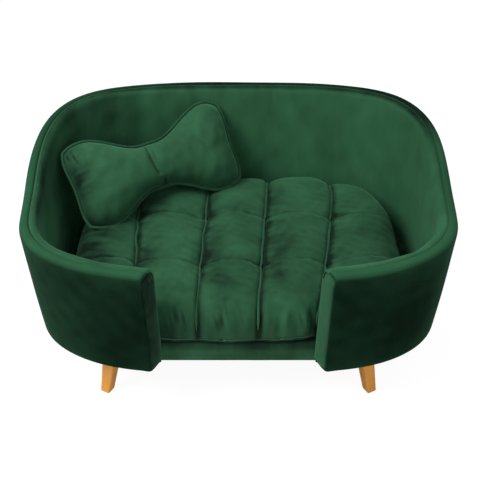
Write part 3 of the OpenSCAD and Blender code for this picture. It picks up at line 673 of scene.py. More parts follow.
class PillowSettings(bpy.types.PropertyGroup):
    """The bone pillow"""
    crease: bpy.props.FloatProperty(
        name="Crease", description="Depth of the tuck across the waist",
        default=0.0055, min=0, max=0.010, unit="LENGTH")
    pucker: bpy.props.FloatProperty(
        name="Puckers", description="Height of the small folds along the piping",
        default=0.0012, min=0, max=0.003, unit="LENGTH")
    piping: bpy.props.FloatProperty(
        name="Piping", description="Diameter of the piping cord",
        default=0.005, min=0.002, max=0.007, unit="LENGTH")


class LegSettings(bpy.types.PropertyGroup):
    """The varnished legs"""
    honey: bpy.props.FloatVectorProperty(
        name="Honey", description="Light colour of the varnished wood",
        default=(1.0, 0.44, 0.050), subtype="COLOR", size=3, min=0, max=1)
    dark_grain: bpy.props.FloatVectorProperty(
        name="Dark grain", description="Dark colour of the varnished wood",
        default=(0.88, 0.35, 0.034), subtype="COLOR", size=3, min=0, max=1)
    arris: bpy.props.FloatProperty(
        name="Arris", description="Radius of a leg's edges",
        default=0.0016, min=0.0005, max=0.004, unit="LENGTH")


class StageSettings(bpy.types.PropertyGroup):
    """The light"""
    key_power: bpy.props.FloatProperty(
        name="Key light", description="Power of the main lamp", default=34.0, min=0, max=200, unit="POWER")
    fill_power: bpy.props.FloatProperty(
        name="Fill light", description="Power of the lamp on the other side",
        default=7.0, min=0, max=200, unit="POWER")
    ambient: bpy.props.FloatProperty(
        name="Ambient", description="Strength of the light from all round", default=0.35, min=0, max=2)


class SofaSettings(bpy.types.PropertyGroup):
    """All the sofa's settings"""
    velvet: bpy.props.PointerProperty(type=VelvetSettings)
    tub: bpy.props.PointerProperty(type=TubSettings)
    cushion: bpy.props.PointerProperty(type=CushionSettings)
    pillow: bpy.props.PointerProperty(type=PillowSettings)
    legs: bpy.props.PointerProperty(type=LegSettings)
    stage: bpy.props.PointerProperty(type=StageSettings)


# Tub covers

def quarter(steps):
    """Sine and cosine over a quarter turn."""
    turn = np.linspace(0, math.pi / 2, steps)
    return np.sin(turn), np.cos(turn)


def outer_section(tub):
    """Hem, quarter circle, wall, quarter circle and top as far as the seam, as rows of depth, share of the
    rim's height, and rise."""
    hem_rise = HEM_Z - UNDERSIDE
    foot, rim = tub.foot_rounding, tub.rim_rounding
    under = np.linspace([HEM_WIDTH, 0, hem_rise], [foot, 0, hem_rise], 6)
    sine, cosine = quarter(8)
    foot_arc = np.stack([foot * (1 - sine), 0 * sine, hem_rise + foot * (1 - cosine)], axis=-1)
    wall = np.linspace([0, 0, hem_rise + foot], [0, 1, -rim], 46)
    sine, cosine = quarter(12)
    rim_arc = np.stack([rim * (1 - cosine), 1 + 0 * sine, rim * (sine - 1)], axis=-1)
    top = np.linspace([rim, 1, 0], [SEAM_IN, 1, 0], 9)
    return np.concatenate([under, foot_arc[1:], wall[1:], rim_arc[1:], top[1:]])


def lining_section(tub, low):
    """Top, quarter circle, wall and the turn under it at the height low, in the same rows."""
    rim, turn_in = min(tub.rim_rounding, WALL - SEAM_IN - 0.0005), LINING_TURN_IN
    top = np.linspace([SEAM_IN, 1, 0], [WALL - rim, 1, 0], 5)
    sine, cosine = quarter(12)
    rim_arc = np.stack([WALL - rim * (1 - sine), 1 + 0 * sine, rim * (cosine - 1)], axis=-1)
    wall = np.linspace([WALL, 1, -rim], [WALL, 0, low + turn_in], 48)
    sine, cosine = quarter(8)
    turn = np.stack([WALL - turn_in * (1 - cosine), 0 * sine, low + turn_in * (1 - sine)], axis=-1)
    under = np.linspace([WALL - turn_in, 0, low], [SEAM_IN - 0.003, 0, low], 4)
    return np.concatenate([top, rim_arc[1:], wall[1:], turn[1:], under[1:]])


def rounded_off(distance, radius):
    """Drop of a quarter circle at a distance from an edge."""
    near = np.clip(1 - distance / radius, 0, 1)
    return radius * (1 - np.sqrt(np.clip(1 - near * near, 0, 1)))


def even_shares(count, end_count=26, end_share=0.012):
    """Shares of the way round the wall, closer together at both arm ends."""
    ends = end_share * np.linspace(0, 1, end_count) ** 1.6
    middle = np.linspace(end_share, 1 - end_share, count)
    return np.concatenate([ends[:-1], middle, (1 - ends[:-1])[::-1]])


SHARES = even_shares(300)


def band(section, tub):
    """A wall band: the section's points at every station, the arc to the nearer end, and the normals."""
    depth, on_rim, rise = section[..., 0], section[..., 1], section[..., 2]
    angle, to_end = stations(SHARES[:, None], np.broadcast_to(depth, (len(SHARES), depth.shape[-1])))
    low = UNDERSIDE + rounded_off(to_end, tub.arm_rounding)
    high = rim_height(angle) - rounded_off(to_end, tub.arm_rounding)
    z = low + (high - low) * on_rim + rise
    points = wall_point(angle, z, depth)
    return points, to_end, grid_normals(points)


def drawn_in(points, normals, out, depth, to_seam, to_end, tub):
    """The band moved out, creased along the rim's seam and rounded off at the arms' ends, with its normals.

    The ends' edges are tight on the outside and softer on the lining.
    """
    crease = tub.seam_crease * bell(to_seam, CREASE_WIDTH) * smooth_step(to_end / CREASE_END)
    end_round = OUTER_END_ROUND + (LINING_END_ROUND - OUTER_END_ROUND) * above(depth, 0.009, 0.013)
    out = out - crease - rounded_off(to_end, end_round)
    points = points + normals * out[..., None]
    return points, grid_normals(points)


def outer_cover_points(tub):
    """The outer band with rounded ends, a crowned face, a soft roll by the seam, waves and the seam's crease.

    Returns its points and normals, with rows round the wall and columns up the section.
    """
    crown, seam_roll, roll_width = 0.0012, 0.0008, 0.016
    section = outer_section(tub)
    points, to_end, normals = band(section, tub)
    depth, on_rim = section[:, 0], section[:, 1]
    to_seam = arc_of(points[:, ::-1])[:, ::-1]
    face = np.sin(math.pi * np.clip(on_rim, 0, 1)) * (depth < WELD)
    out = crown * face + tub.unevenness * ripples(points, 0.16, 11) * np.clip(to_seam / 0.02, 0, 1)
    out = out + seam_roll * np.sin(math.pi * np.clip(to_seam / roll_width, 0, 1)) * (on_rim > 0.5)
    return drawn_in(points, normals, out * smooth_step(to_end / 0.02), depth, to_seam, to_end, tub)


def on_right_arm(x, y):
    """1 on the right arm, fading towards the middle and the back."""
    return above(x, 0.05, 0.08) * below(y, -0.06, 0.06)


def outer_tone_and_painted_light(points, normals):
    """Painted light and shade on the outer cover: painted shade on its faces, and painted light only on the
    rim and where the cloth turns under.

    The painted light is stronger on the arms' rims than on the back's, and painted shade darkens the back and
    the sides; the soft clouds are the velvet's own tone.
    """
    # Painted shade on the outer faces, painted light on the rim, its shoulder and the foot.
    shade_on_faces, on_rim, on_shoulder, on_foot = -0.56, 0.54, 0.20, 0.09
    shoulder_reach, foot_reach = 0.016, 0.03
    x, y, z = np.moveaxis(points, -1, 0)
    upward = above(normals[..., 2], 0.12, 0.75)
    to_back = above(y, -0.12, 0.17)
    at_foot = np.exp(-(z - UNDERSIDE) / foot_reach)
    under_top = z.max(axis=1, keepdims=True) - z
    shoulder = np.exp(-under_top / shoulder_reach) * (1 - upward) * (1 - to_back)
    on_left = below(x, -0.08, 0.14)
    on_right = above(x, 0.20, 0.08)
    shaded_places = (to_back * (1 - on_left) * (1 - on_right) + on_right * above(y, 0.05, 0.08)
                + 0.62 * on_left * above(y, -0.06, 0.22))
    clouds = 0.04 * ripples(points, 0.14, 15) + 0.02 * ripples(points, 0.04, 16)
    rim = upward * (on_rim + 0.07 * on_right_arm(x, y) - 0.50 * shaded_places)
    return shade_on_faces + rim + on_shoulder * shoulder + on_foot * at_foot + clouds


def lining_points(tub):
    """The inner band: a roll over the rim's inner edge, a soft belly, waves, and a turn under at the ends."""
    belly_out, roll_start, roll_end = 0.0025, 0.006, 0.045
    over_hem, over_panel = 0.0013, 0.002
    near_end = below(stations(SHARES, WALL)[1], 0.036, 0.006)[:, None, None]
    at_end = lining_section(tub, HEM_Z + over_hem - UNDERSIDE)
    elsewhere = lining_section(tub, PANEL_TOP + over_panel - UNDERSIDE)
    section = at_end * near_end + elsewhere * (1 - near_end)
    points, to_end, normals = band(section, tub)
    to_seam = arc_of(points)
    above_deck = above(points[..., 2], DECK_Z, 0.03)
    roll = tub.lining_puff * (1 - bell(to_seam, roll_start)) * bell(to_seam, roll_end)
    belly = belly_out * above_deck * smooth_step(to_seam / 0.06)
    waves = tub.unevenness * 1.4 * ripples(points * (1.0, 1.0, 0.35), 0.075, 23) * above_deck
    out = (roll + belly + waves * np.clip(to_seam / 0.02, 0, 1)) * smooth_step(to_end / 0.03)
    return drawn_in(points, normals, out, section[..., 0], to_seam, to_end, tub)


def lining_rim_painted_light(x, y, upward, by_left):
    """Painted light and shade on the rim: painted shade on the left and at the back, painted light on the
    right arm.
    """
    shade_left, shade_back, light_on_arm = 0.10, 0.50, 0.17
    by_right = above(x, 0.20, 0.08)
    to_back = above(y, -0.10 + 0.15 * by_right, 0.18 - 0.10 * by_right) * (1 - 0.35 * by_left)
    return upward * (0.02 - shade_left * by_left - shade_back * to_back + light_on_arm * on_right_arm(x, y))


def lining_wall_painted_light(points, on_left, facing_in):
    """Painted light and shade on the wall: painted shade high up on the left, painted light low there, on the
    right, at the back and in the right corner.
    """
    x, y, z = np.moveaxis(points, -1, 0)
    # The left wall faces away from the key lamp: painted shade high up, painted light low down.
    left_wall_shade = on_left * (0.29 + 0.20 * below(y, 0.08, 0.08) - 0.62 * below(z, 0.30, 0.10))
    right_wall_light = (0.03 + 0.07 * above(x, 0.08, 0.15)) * facing_in * (1 - on_left)
    streaked = np.clip(0.55 + 0.6 * ripples(points * (1.0, 1.0, 0.25), 0.030, 27), 0, 1.2)
    right_corner = above(x, 0.235, 0.02) * above(y, 0.02, 0.06) * below(z, 0.34, 0.06) * facing_in
    back = above(y, 0.05, 0.1)
    back_left = bell(x + 0.15, 0.09) * above(y, 0.12, 0.05) * facing_in
    return (right_wall_light - left_wall_shade + 0.03 * back + 0.07 * back_left
            + 0.02 * right_corner * (1 - streaked))


def lining_tone_and_painted_light(points, normals):
    """Painted light and shade of the rim and of the wall, with soft clouds of the velvet's own tone that are
    stronger on the left.
    """
    x, y = points[..., 0], points[..., 1]
    by_left = below(x, -0.12, 0.12)
    upward = above(normals[..., 2], 0.3 + 0.42 * by_left, 0.6 - 0.38 * by_left)
    # on_left: the inner wall that faces away from the key lamp, where shade is painted.
    on_left = smooth_step(normals[..., 0] / 0.45) * (1 - upward) * (1 - below(y, -0.05, 0.09))
    clouds = 0.05 * ripples(points * (1.0, 1.0, 0.6), 0.11, 25) + 0.04 * ripples(points, 0.045, 26)
    return (clouds * (1 + on_left) + lining_rim_painted_light(x, y, upward, by_left)
            + lining_wall_painted_light(points, on_left, 1 - upward))


def facing_points(tub, side):
    """The panel on an arm's end: rings from the covers' end edges in to its middle line, puffed out.

    The middle line runs up the arm, and its ends stop short of the loop of the covers' edges.
    """
    outer_middle, outer_low, outer_high, lining_middle = 30, 20, 60, 40
    above_foot, under_rim = 0.011, 0.010
    row = 0 if side > 0 else -1
    outer_edge, lining_edge = outer_cover_points(tub)[0][row], lining_points(tub)[0][row]
    section = outer_section(tub)
    keep = (section[:, 0] < SEAM_IN - 0.004) | (section[:, 1] > 0)
    loop = np.concatenate([outer_edge[keep], lining_edge])
    depth_way = lining_edge[lining_middle] - outer_edge[outer_middle]
    depth_way[2] = 0
    out_way = np.cross([0, 0, 1], unit(depth_way)) * side
    middle_z = np.clip(loop[:, 2], loop[:, 2].min() + above_foot, loop[:, 2].max() - under_rim)
    middle = 0.5 * (outer_edge[outer_middle] + lining_edge[lining_middle])
    lean_way = outer_edge[outer_high] - outer_edge[outer_low]
    centres = middle + (middle_z - middle[2])[:, None] * lean_way / lean_way[2]
    shares = np.concatenate([[0, 0.04, 0.09], np.linspace(0.16, 1, 12)])
    dome = np.sqrt(np.clip(1 - (1 - shares) ** 2.2, 0, 1))
    puff, border_dip, tucked_under = 0.0042, 0.0009, -0.0003
    rise = puff * dome - border_dip * bell(shares - 0.04, 0.05)
    rise[0] = tucked_under
    rings = rings_inward(loop, centres, rise[:, None, None] * out_way, shares)
    return rings + out_way * (0.0005 * ripples(rings, 0.05, 31) * dome[:, None])[..., None]


def facing_tone_and_painted_shade(rings, side):
    """On the left the panel, which faces away from the key lamp, gets painted shade, least by the lining; on
    the right only the pile's own uneven tone.
    """
    if side > 0:
        return 0.03 * ripples(rings, 0.04, 32)
    outer_y, lining_y = rings[..., 1].min(), rings[..., 1].max()
    to_lining = above(rings[..., 1], outer_y, lining_y - outer_y)
    # Painted shade on the left panel, lighter towards the lining.
    return -0.46 + 0.20 * to_lining ** 2 + 0.04 * ripples(rings, 0.03, 33)


def wall_inside_x(y, z):
    """Half width inside the lining at a place y and height z, from the superellipse there."""
    a = PLAN_A - WALL + LEAN * (z - UNDERSIDE)
    b = PLAN_B - WALL + LEAN * (z - UNDERSIDE)
    return a * np.clip(1 - (np.abs(y - PLAN_Y) / b) ** PLAN_POWER, 0, 1) ** (1 / PLAN_POWER)


def deck_points():
    """The deck's velvet: flat under the cushion, over the rail, down its front and under the panel."""
    deck_rows, columns = 60, 161
    tuck_round, belly_out, wave_height = 0.004, 0.0016, 0.0006
    back = PLAN_Y + PLAN_B - WALL - 0.0004
    deck_y = RAIL_Y + RAIL_EDGE + (back - RAIL_Y - RAIL_EDGE) * np.linspace(1, 0, deck_rows) ** 1.3
    deck = np.stack([deck_y, np.full(deck_rows, DECK_Z)], axis=-1)
    sine, cosine = quarter(9)
    fold = np.stack([RAIL_Y + RAIL_EDGE * (1 - sine), DECK_Z - RAIL_EDGE * (1 - cosine)], axis=-1)
    front = np.linspace([RAIL_Y, DECK_Z - RAIL_EDGE], [RAIL_Y, HEM_Z + tuck_round], 18)
    sine, cosine = quarter(6)
    tuck = np.stack([RAIL_Y + tuck_round * (1 - cosine), HEM_Z + tuck_round * (1 - sine)], axis=-1)
    under = np.linspace([RAIL_Y + tuck_round, HEM_Z], [RAIL_Y + HEM_WIDTH, HEM_Z], 6)
    y, z = np.concatenate([deck, fold[1:], front[1:], tuck[1:], under[1:]]).T
    half = wall_inside_x(y, DECK_Z)
    front_half = end_x(WALL) + 0.012
    half[deck_rows:] = front_half
    half[:deck_rows] = np.maximum(half[:deck_rows], front_half)
    across = np.linspace(-1, 1, columns)[:, None] * half
    points = np.stack([across, np.broadcast_to(y, across.shape), np.broadcast_to(z, across.shape)], axis=-1)
    normals = grid_normals(points)
    on_front = below(z, DECK_Z + 0.002, 0.006) * above(z, HEM_Z, 0.006)
    belly = belly_out * np.sin(math.pi * np.clip((z - HEM_Z) / (DECK_Z - HEM_Z), 0, 1)) * on_front
    waves = wave_height * ripples(points, 0.045, 41) * on_front
    points = points + normals * (belly + waves)[..., None]
    return points, grid_normals(points)


def deck_tone_and_painted_shade(points):
    """Painted shade under the cushion's front edge, with uneven patches of the pile's own tone on the rail.
    """
    # Painted shade where the cushion overhangs the rail.
    shade_under_cushion = above(points[..., 2], 0.119, 0.010)
    return -0.22 * shade_under_cushion + 0.07 * ripples(points * (0.6, 1.0, 1.0), 0.035, 42)


# Dust cover

def turning(angle):
    """The matrix that turns rows of x and y by an angle."""
    return np.array([[math.cos(angle), math.sin(angle)], [-math.sin(angle), math.cos(angle)]])


def dust_outline():
    """The plan cut in by the dust cover's inset, closed by the arms' feet and behind the rail."""
    start = np.interp(front_angle(end_x(0) + DUST_INSET), ANGLES, ARC)
    angle = np.interp(start + np.linspace(0, 1, 180) * (ARC[-1] - 2 * start), ARC, ANGLES)
    round_it = wall_point(angle, np.full_like(angle, UNDERSIDE), DUST_INSET)[:, :2]
    foot_x = end_x(WALL) + FACING_GAP
    by_arm, by_rail = RAIL_Y - FACING_GAP, RAIL_Y + DUST_INSET
    corners = [[-foot_x, by_arm], [-foot_x, by_rail], [foot_x, by_rail], [foot_x, by_arm]]
    return np.concatenate([round_it, corners])


def leg_places():
    """The signs of each leg's side and end, with the middle of its top."""
    return [(sx, sy, sx * (PLAN_A - LEG_INSET_X), sy * (PLAN_B - LEG_INSET_Y))
            for sx in (-1, 1) for sy in (-1, 1)]


def dust_plan():
    """Triangles between the outline, the four leg holes and a grid of inner points."""
    spacing, inside_by, from_rail, from_leg = 0.011, 0.021, 0.006, 0.026
    inside_loops = 1
    half = LEG_TOP / 2 + 0.001
    square = np.array([(-half, -half), (half, -half), (half, half), (-half, half)])
    holes = [square @ turning(-LEG_TURN * sx * sy) + (x, y) for sx, sy, x, y in leg_places()]
    xs, ys = np.meshgrid(np.arange(-0.32, 0.321, spacing), np.arange(-0.20, 0.201, spacing), indexing="ij")
    inner = np.stack([xs.ravel(), ys.ravel()], axis=-1)
    share = np.abs(inner[:, 0] / (PLAN_A - inside_by)) ** PLAN_POWER
    share = share + np.abs((inner[:, 1] - PLAN_Y) / (PLAN_B - inside_by)) ** PLAN_POWER
    inside = (share < 1) & (inner[:, 1] > RAIL_Y + DUST_INSET + from_rail)
    for _, _, x, y in leg_places():
        inside &= np.hypot(inner[:, 0] - x, inner[:, 1] - y) > from_leg
    loops = [dust_outline()] + holes
    points = np.concatenate(loops + [inner[inside]])
    edges = []
    for loop in loops:
        first, count = len(edges), len(loop)
        edges += [(first + k, first + (k + 1) % count) for k in range(count)]
    made = geometry.delaunay_2d_cdt([Vector(p) for p in points], edges, [], inside_loops, WELD)
    plan = np.array([tuple(v) for v in made[0]])
    triangles = np.array([tuple(f) for f in made[2]])
    middle = plan[triangles].mean(axis=1)
    in_hole = np.zeros(len(triangles), bool)
    for sx, sy, x, y in leg_places():
        local = (middle - (x, y)) @ turning(LEG_TURN * sx * sy)
        in_hole |= np.abs(local).max(axis=1) < half
    return plan, triangles[~in_hole]


def dust_mesh(plan, triangles):
    """The plan held at its edge and sagging inside it, closed by a sheet above it and a border strip."""
    sag_depth, sag_waves = 0.0022, 0.0007
    x, y = plan[:, 0], plan[:, 1]
    flat = np.stack([x, y, 0 * x], axis=-1)
    free = 1 - (np.abs(x) / (PLAN_A - DUST_INSET)) ** PLAN_POWER
    free = free - (np.abs(y - PLAN_Y) / (PLAN_B - DUST_INSET)) ** PLAN_POWER
    sag = (sag_depth + sag_waves * ripples(flat, 0.09, 81)) * smooth_step(np.clip(free, 0, 1) / 0.5)
    low = np.stack([x, y, UNDERSIDE - sag], axis=-1)
    count = len(plan)
    down = triangles[:, ::-1]
    edges = np.concatenate([down[:, [0, 1]], down[:, [1, 2]], down[:, [2, 0]]])
    keys = edges[:, 0] * count + edges[:, 1]
    border = edges[~np.isin(edges[:, 1] * count + edges[:, 0], keys)]
    strips = np.stack([border[:, 1], border[:, 0], border[:, 0] + count, border[:, 1] + count], axis=-1)
    faces = down.tolist() + (triangles + count).tolist() + strips.tolist()
    return np.concatenate([low, low + (0, 0, DUST_T)]), faces


# Cushion

CUSHION_A = PLAN_A - WALL - CUSHION_SIDE_GAP
CUSHION_FRONT = RAIL_Y - CUSHION_OVERHANG
CUSHION_B = (PLAN_Y + PLAN_B - WALL - CUSHION_BACK_GAP - CUSHION_FRONT) / 2
CUSHION_Y = CUSHION_FRONT + CUSHION_B


def warp(s, t):
    """The seams drawn together and to the left at the front: straight from seam to seam and to the front."""
    at = np.concatenate([[-1], SEAMS, [1]])
    front = np.interp(s, at, np.concatenate([[-1], SEAMS_FRONT, [1]]))
    back = np.interp(s, at, np.concatenate([[-1], SEAMS_BACK, [1]]))
    return 0.5 * (front * (1 - t) + back * (1 + t))


def edge_fall(s, t, power):
    """Square root of 1 - s^p times that of 1 - t^p: full in the middle and nothing at the edge."""
    return np.sqrt(np.clip(1 - np.abs(s) ** power, 0, 1) * np.clip(1 - np.abs(t) ** power, 0, 1))


def nearest(value, lines):
    """Distance to the nearest of some lines."""
    return np.min(np.abs(value[..., None] - lines), axis=-1)


def beside_seam(s):
    """0 at the nearest seam and 1 in the middle of a channel."""
    return np.clip(nearest(s, SEAMS) / CHANNEL_HALF, 0, 1)


def cushion_plan(s, t):
    """The cushion's x and y: a rectangle on shares s and t with drawn-in corners and seams."""
    across = warp(s, t)
    x = CUSHION_A * across * (1 - END_ROUND * across ** 2 * t ** 4)
    pull = EDGE_PULL * (1 - beside_seam(s)) ** 1.8
    y = CUSHION_Y + CUSHION_B * t * (1 - SIDE_ROUND * np.abs(s) ** 3) - signed_power(t, 7) * pull
    return x, y


def dense_ends(count):
    """Shares from -1 to 1, closer together at both ends."""
    u = np.linspace(-1, 1, count)
    return u + 0.24 * (u - u ** 5)


def to_tuck(s, t):
    """Distance to the nearest tuck, as a share, which arches towards the back between the seams."""
    arch = 0.016 * (1 - (1 - beside_seam(s)) ** 2)
    return nearest(t - arch, TUCKS)


def cushion_top_z(cushion, s, t):
    """Crown less channels and tucks: round-shouldered between the seams, creased at them."""
    fall = edge_fall(s, t, TOP_POWER)
    from_middle = 1 - beside_seam(s)
    channel = 0.5 * (1 - np.sqrt(1 - from_middle ** 2.2)) + 0.5 * from_middle ** 2.4
    from_tuck = to_tuck(s, t)
    hollow = np.clip(1 - from_tuck / ROW_HALF, 0, 1) ** 2
    sewn = np.exp(-(from_tuck * CUSHION_B / 0.005) ** 1.2)
    crease = (0.65 * hollow + 0.35 * sewn) * (0.35 + 0.65 * from_middle ** 2)
    groove = cushion.groove_depth * bell(nearest(s, SEAMS) * CUSHION_A, 0.0034)
    dip = cushion.channel_depth * channel + cushion.tuck_depth * crease + groove
    return CUSHION_SEAM_Z + (CUSHION_CROWN + CUSHION_RISE * t) * fall - dip * np.sqrt(fall)


def brushed_and_shaded(flat):
    """How dark the table's patches are, of pile brushed flat and of painted shadow under the pillow, whose
    edges are ragged.
    """
    ragged = np.clip(1 + 0.30 * ripples(flat, 0.045, 63) + 0.12 * ripples(flat, 0.014, 64), 0.3, 2.5)
    total = 0
    for x, y, half_width, half_depth, share in BRUSHED_AND_SHADED:
        away = ((flat[..., 0] - x) / half_width) ** 2 + ((flat[..., 1] - y) / half_depth) ** 2
        total = total + share * np.exp(-0.7 * away * ragged)
    return total


def cushion_folds(cushion, flat, fall, to_seam, to_tuck_line):
    """Height of the uneven filling, the puckers along the seams and tucks, and soft folds between them."""
    filling, soft, fold_length, seam_reach, tuck_reach = 0.0024, 0.0005, 0.017, 0.008, 0.009
    uneven = filling * ripples(flat, 0.10, 51) * fall
    by_seam = ripples(flat * (0.45, 1.0, 1.0), fold_length, 52) * np.exp(-to_seam / seam_reach)
    by_tuck = ripples(flat * (1.0, 0.45, 1.0), fold_length, 53) * np.exp(-to_tuck_line / tuck_reach)
    between = soft * ripples(flat, 0.036, 54)
    return (uneven + cushion.pucker * (by_seam + by_tuck) + between) * np.clip(fall * 2, 0, 1)


def cushion_gathers(cushion, x, z, fall, front, drop, bunched):
    """Height of the upright folds round the front, wide and narrow, in bunches, weaker on the rolled edge."""
    height = z - CUSHION_SEAM_Z
    folds = row_of_folds(x + 0.12 * height, 0.021, 55) + 0.5 * row_of_folds(x - 0.10 * height, 0.009, 56)
    on_roll = above(drop, 0.042, 0.014)
    reach = front * above(drop, 0.006, 0.030) * (1 - 0.65 * on_roll) * (0.45 + 0.55 * smooth_step(fall / 0.3))
    return cushion.gather * folds * bunched * reach


def shade_by_seams(flat, past_seam, to_tuck_line, drop, streaks):
    """Painted shade in the seams and the tucks, and darker streaks to the right of the seams and beside the
    tucks.
    """
    in_seam, seam_middle, seam_reach = 0.58, 0.0022, 0.0058
    to_right, right_reach, tuck_spread = 0.30, 0.020, 0.040
    in_tuck, tuck_reach = 0.22, 0.0030
    beside_tuck, beside_reach = 0.10, 0.016
    # Painted shade in each seam's groove.
    seam_shade = bell(past_seam - seam_middle, seam_reach) * (1 - 0.3 * above(drop, 0.05, 0.02))
    right_of_seam = smooth_step(past_seam / 0.004) * bell(np.clip(past_seam, 0, 1), right_reach)
    right_of_seam = right_of_seam * streaks * (0.20 + 0.80 * bell(to_tuck_line, tuck_spread))
    broken = np.clip(0.6 + 0.6 * ripples(flat, 0.045, 60), 0.15, 1)
    by_tuck = in_tuck * broken * bell(to_tuck_line, tuck_reach)
    by_tuck = by_tuck + beside_tuck * np.exp(-to_tuck_line / beside_reach) * (streaks - 0.2)
    return in_seam * seam_shade + to_right * right_of_seam + by_tuck


def front_shade_strokes(x, z, drop, bunched):
    """Short slanted dark strokes down the front, in bunches: painted shade of folds."""
    slant, width, length = 0.20, 0.011, 0.011
    slanted = x + slant * (z - CUSHION_SEAM_Z)
    middle = 0.026 + 0.007 * row_of_folds(slanted, 0.018, 66)
    return above(row_of_folds(slanted, width, 59), 0.45, 1.1) * bunched * bell(drop - middle, length)


def cushion_tone_and_painted_light(flat, z, fall, past_seam, to_tuck_line, front, drop, bunched):
    """Painted light and shade on the cushion: shade by the seams and tucks, in the table's patches, at the
    ends by the walls, at the hem and in strokes down the front, and a light gradient over the top; clouds are
    its own tone."""
    on_left, on_right, on_hem, on_front, in_strokes = 0.46, 0.32, 0.30, 0.16, 0.34
    x, y = flat[..., 0], flat[..., 1]
    streaks = np.clip(0.45 + 0.9 * ripples(flat * (0.45, 1.0, 1.0), 0.022, 57), 0, 1)
    clouds = 0.05 * ripples(flat, 0.06, 58) + 0.03 * ripples(flat, 0.018, 62)
    # Painted light: lighter towards the back, darker on the right, with a lighter band near the right end.
    light_gradient = 0.12 * above(y, 0.02, 0.10) - 0.13 * above(x, 0.08, 0.10) + 0.10 * bell(x - 0.175, 0.055)
    # Painted shadow of the walls at the cushion's ends, and painted shade at the hem and down the front.
    left_end = below(x, -0.17, 0.07) * (0.8 + 0.4 * streaks)
    right_end = above(x, 0.236, 0.03)
    at_hem = above(drop, 0.072, 0.012) + 1.6 * below(fall, 0.14, 0.14) * front
    down_front = on_front * above(drop, 0.020, 0.03) + in_strokes * front_shade_strokes(x, z, drop, bunched)
    patch_and_seam_shade = brushed_and_shaded(flat) + shade_by_seams(flat, past_seam, to_tuck_line, drop, streaks)
    return (clouds + light_gradient - patch_and_seam_shade - on_left * left_end - on_right * right_end - on_hem * at_hem
            - front * down_front)


def cushion_surface(cushion):
    """The top on a grid, with its folds and gathers: its points, its shares and its pile attribute of painted
    light and shade.
    """
    s, t = np.meshgrid(dense_ends(321), dense_ends(255), indexing="ij")
    x, y = cushion_plan(s, t)
    z = cushion_top_z(cushion, s, t)
    points = np.stack([x, y, z], axis=-1)
    flat = np.stack([x, y, 0 * z], axis=-1)
    fall = edge_fall(s, t, TOP_POWER)
    from_seams = s[..., None] - SEAMS
    nearest_one = np.abs(from_seams).argmin(axis=-1)[..., None]
    past_seam = np.take_along_axis(from_seams, nearest_one, axis=-1)[..., 0] * CUSHION_A
    to_tuck_line = to_tuck(s, t) * CUSHION_B
    front = below(t, -0.70, 0.2)
    drop = CUSHION_SEAM_Z + CUSHION_CROWN - CUSHION_RISE - z
    bunched = np.clip(0.55 + 0.6 * row_of_folds(x, 0.055, 65), 0.1, 1.2)
    out = cushion_folds(cushion, flat, fall, np.abs(past_seam), to_tuck_line)
    out = out + cushion_gathers(cushion, x, z, fall, front, drop, bunched)
    rolled_under = 0.0024 * below(fall, 0.16, 0.16) ** 2
    out = out * (1 - 0.8 * bell(past_seam, 0.006)) - rolled_under
    pile = cushion_tone_and_painted_light(flat, z, fall, past_seam, to_tuck_line, front, drop, bunched)
    return points + grid_normals(points) * out[..., None], s, t, pile


def border_of(grid):
    """The grid's border as one closed loop, in order."""
    return np.concatenate([grid[:-1, 0], grid[-1, :-1], grid[:0:-1, -1], grid[0, :0:-1]])


def cushion_mesh(cushion):
    """The top grid closed by rings under it, which turn in below the edge and lie flat on the deck."""
    # under_shade: painted shade on the cushion's underside.
    under_power, under_depth, under_shade = 12, 1.06, -0.62
    top, s, t, pile = cushion_surface(cushion)
    rows, columns = top.shape[:2]
    start = rows * columns
    loop = border_of(top)
    loop_s, loop_t = border_of(s), border_of(t)
    carried = loop - np.stack([*cushion_plan(loop_s, loop_t), loop[:, 2]], axis=-1)
    rings = []
    for share in (0.997, 0.99, 0.982, 0.97, 0.95, 0.92, 0.85, 0.7, 0.5, 0.3, 0.12):
        x, y = cushion_plan(loop_s * share, loop_t * share)
        fall = edge_fall(loop_s * share, loop_t * share, under_power)
        z = CUSHION_SEAM_Z - CUSHION_SEAM_HEIGHT * np.minimum(1, under_depth * fall)
        rings.append(np.stack([x, y, z], axis=-1) + carried * (1 - smooth_step((1 - share) / 0.08)))
    count = len(loop)
    index = border_of(np.arange(start).reshape(rows, columns))
    ids = np.concatenate([[index], start + np.arange(len(rings) * count).reshape(-1, count)])
    onward = np.roll(ids, -1, axis=1)
    quads = np.stack([onward[:-1], onward[1:], ids[1:], ids[:-1]], axis=-1).reshape(-1, 4)
    centre = start + len(rings) * count
    fan = np.stack([onward[-1], np.full(count, centre), ids[-1]], axis=-1)
    points = np.concatenate([top.reshape(-1, 3), *rings, [rings[-1].mean(axis=0)]])
    faces = grid_quads(rows, columns).tolist() + quads.tolist() + fan.tolist()
    return points, faces, np.concatenate([pile.ravel(), np.full(len(points) - start, under_shade)])


def cushion_piping_paths(cushion):
    """A cord's centre line in each channel, lifted by its radius over the channel's bottom."""
    t = np.linspace(-0.985, 0.95, 280)
    paths = []
    for k, seam in enumerate(SEAMS):
        s = np.full_like(t, seam)
        x, y = cushion_plan(s, t)
        path = np.stack([x, y, cushion_top_z(cushion, s, t)], axis=-1)
        path[:, 0] += 0.0008 * row_of_folds(y, 0.06, 61 + k) - 0.0014 * bell(nearest(t, TUCKS), 0.035)
        along = unit(np.gradient(path, axis=0))
        lift = unit(np.cross(np.cross(along, [0, 0, 1.0]), along))
        paths.append(path + lift * (cushion.piping / 2 + 0.4 * cushion.groove_depth))
    return paths


# Bone pillow

def lobe_share(s):
    """0 at the waist, rising smoothly to 1 in the lobes."""
    return above(np.abs(s), 0.1, 0.68)


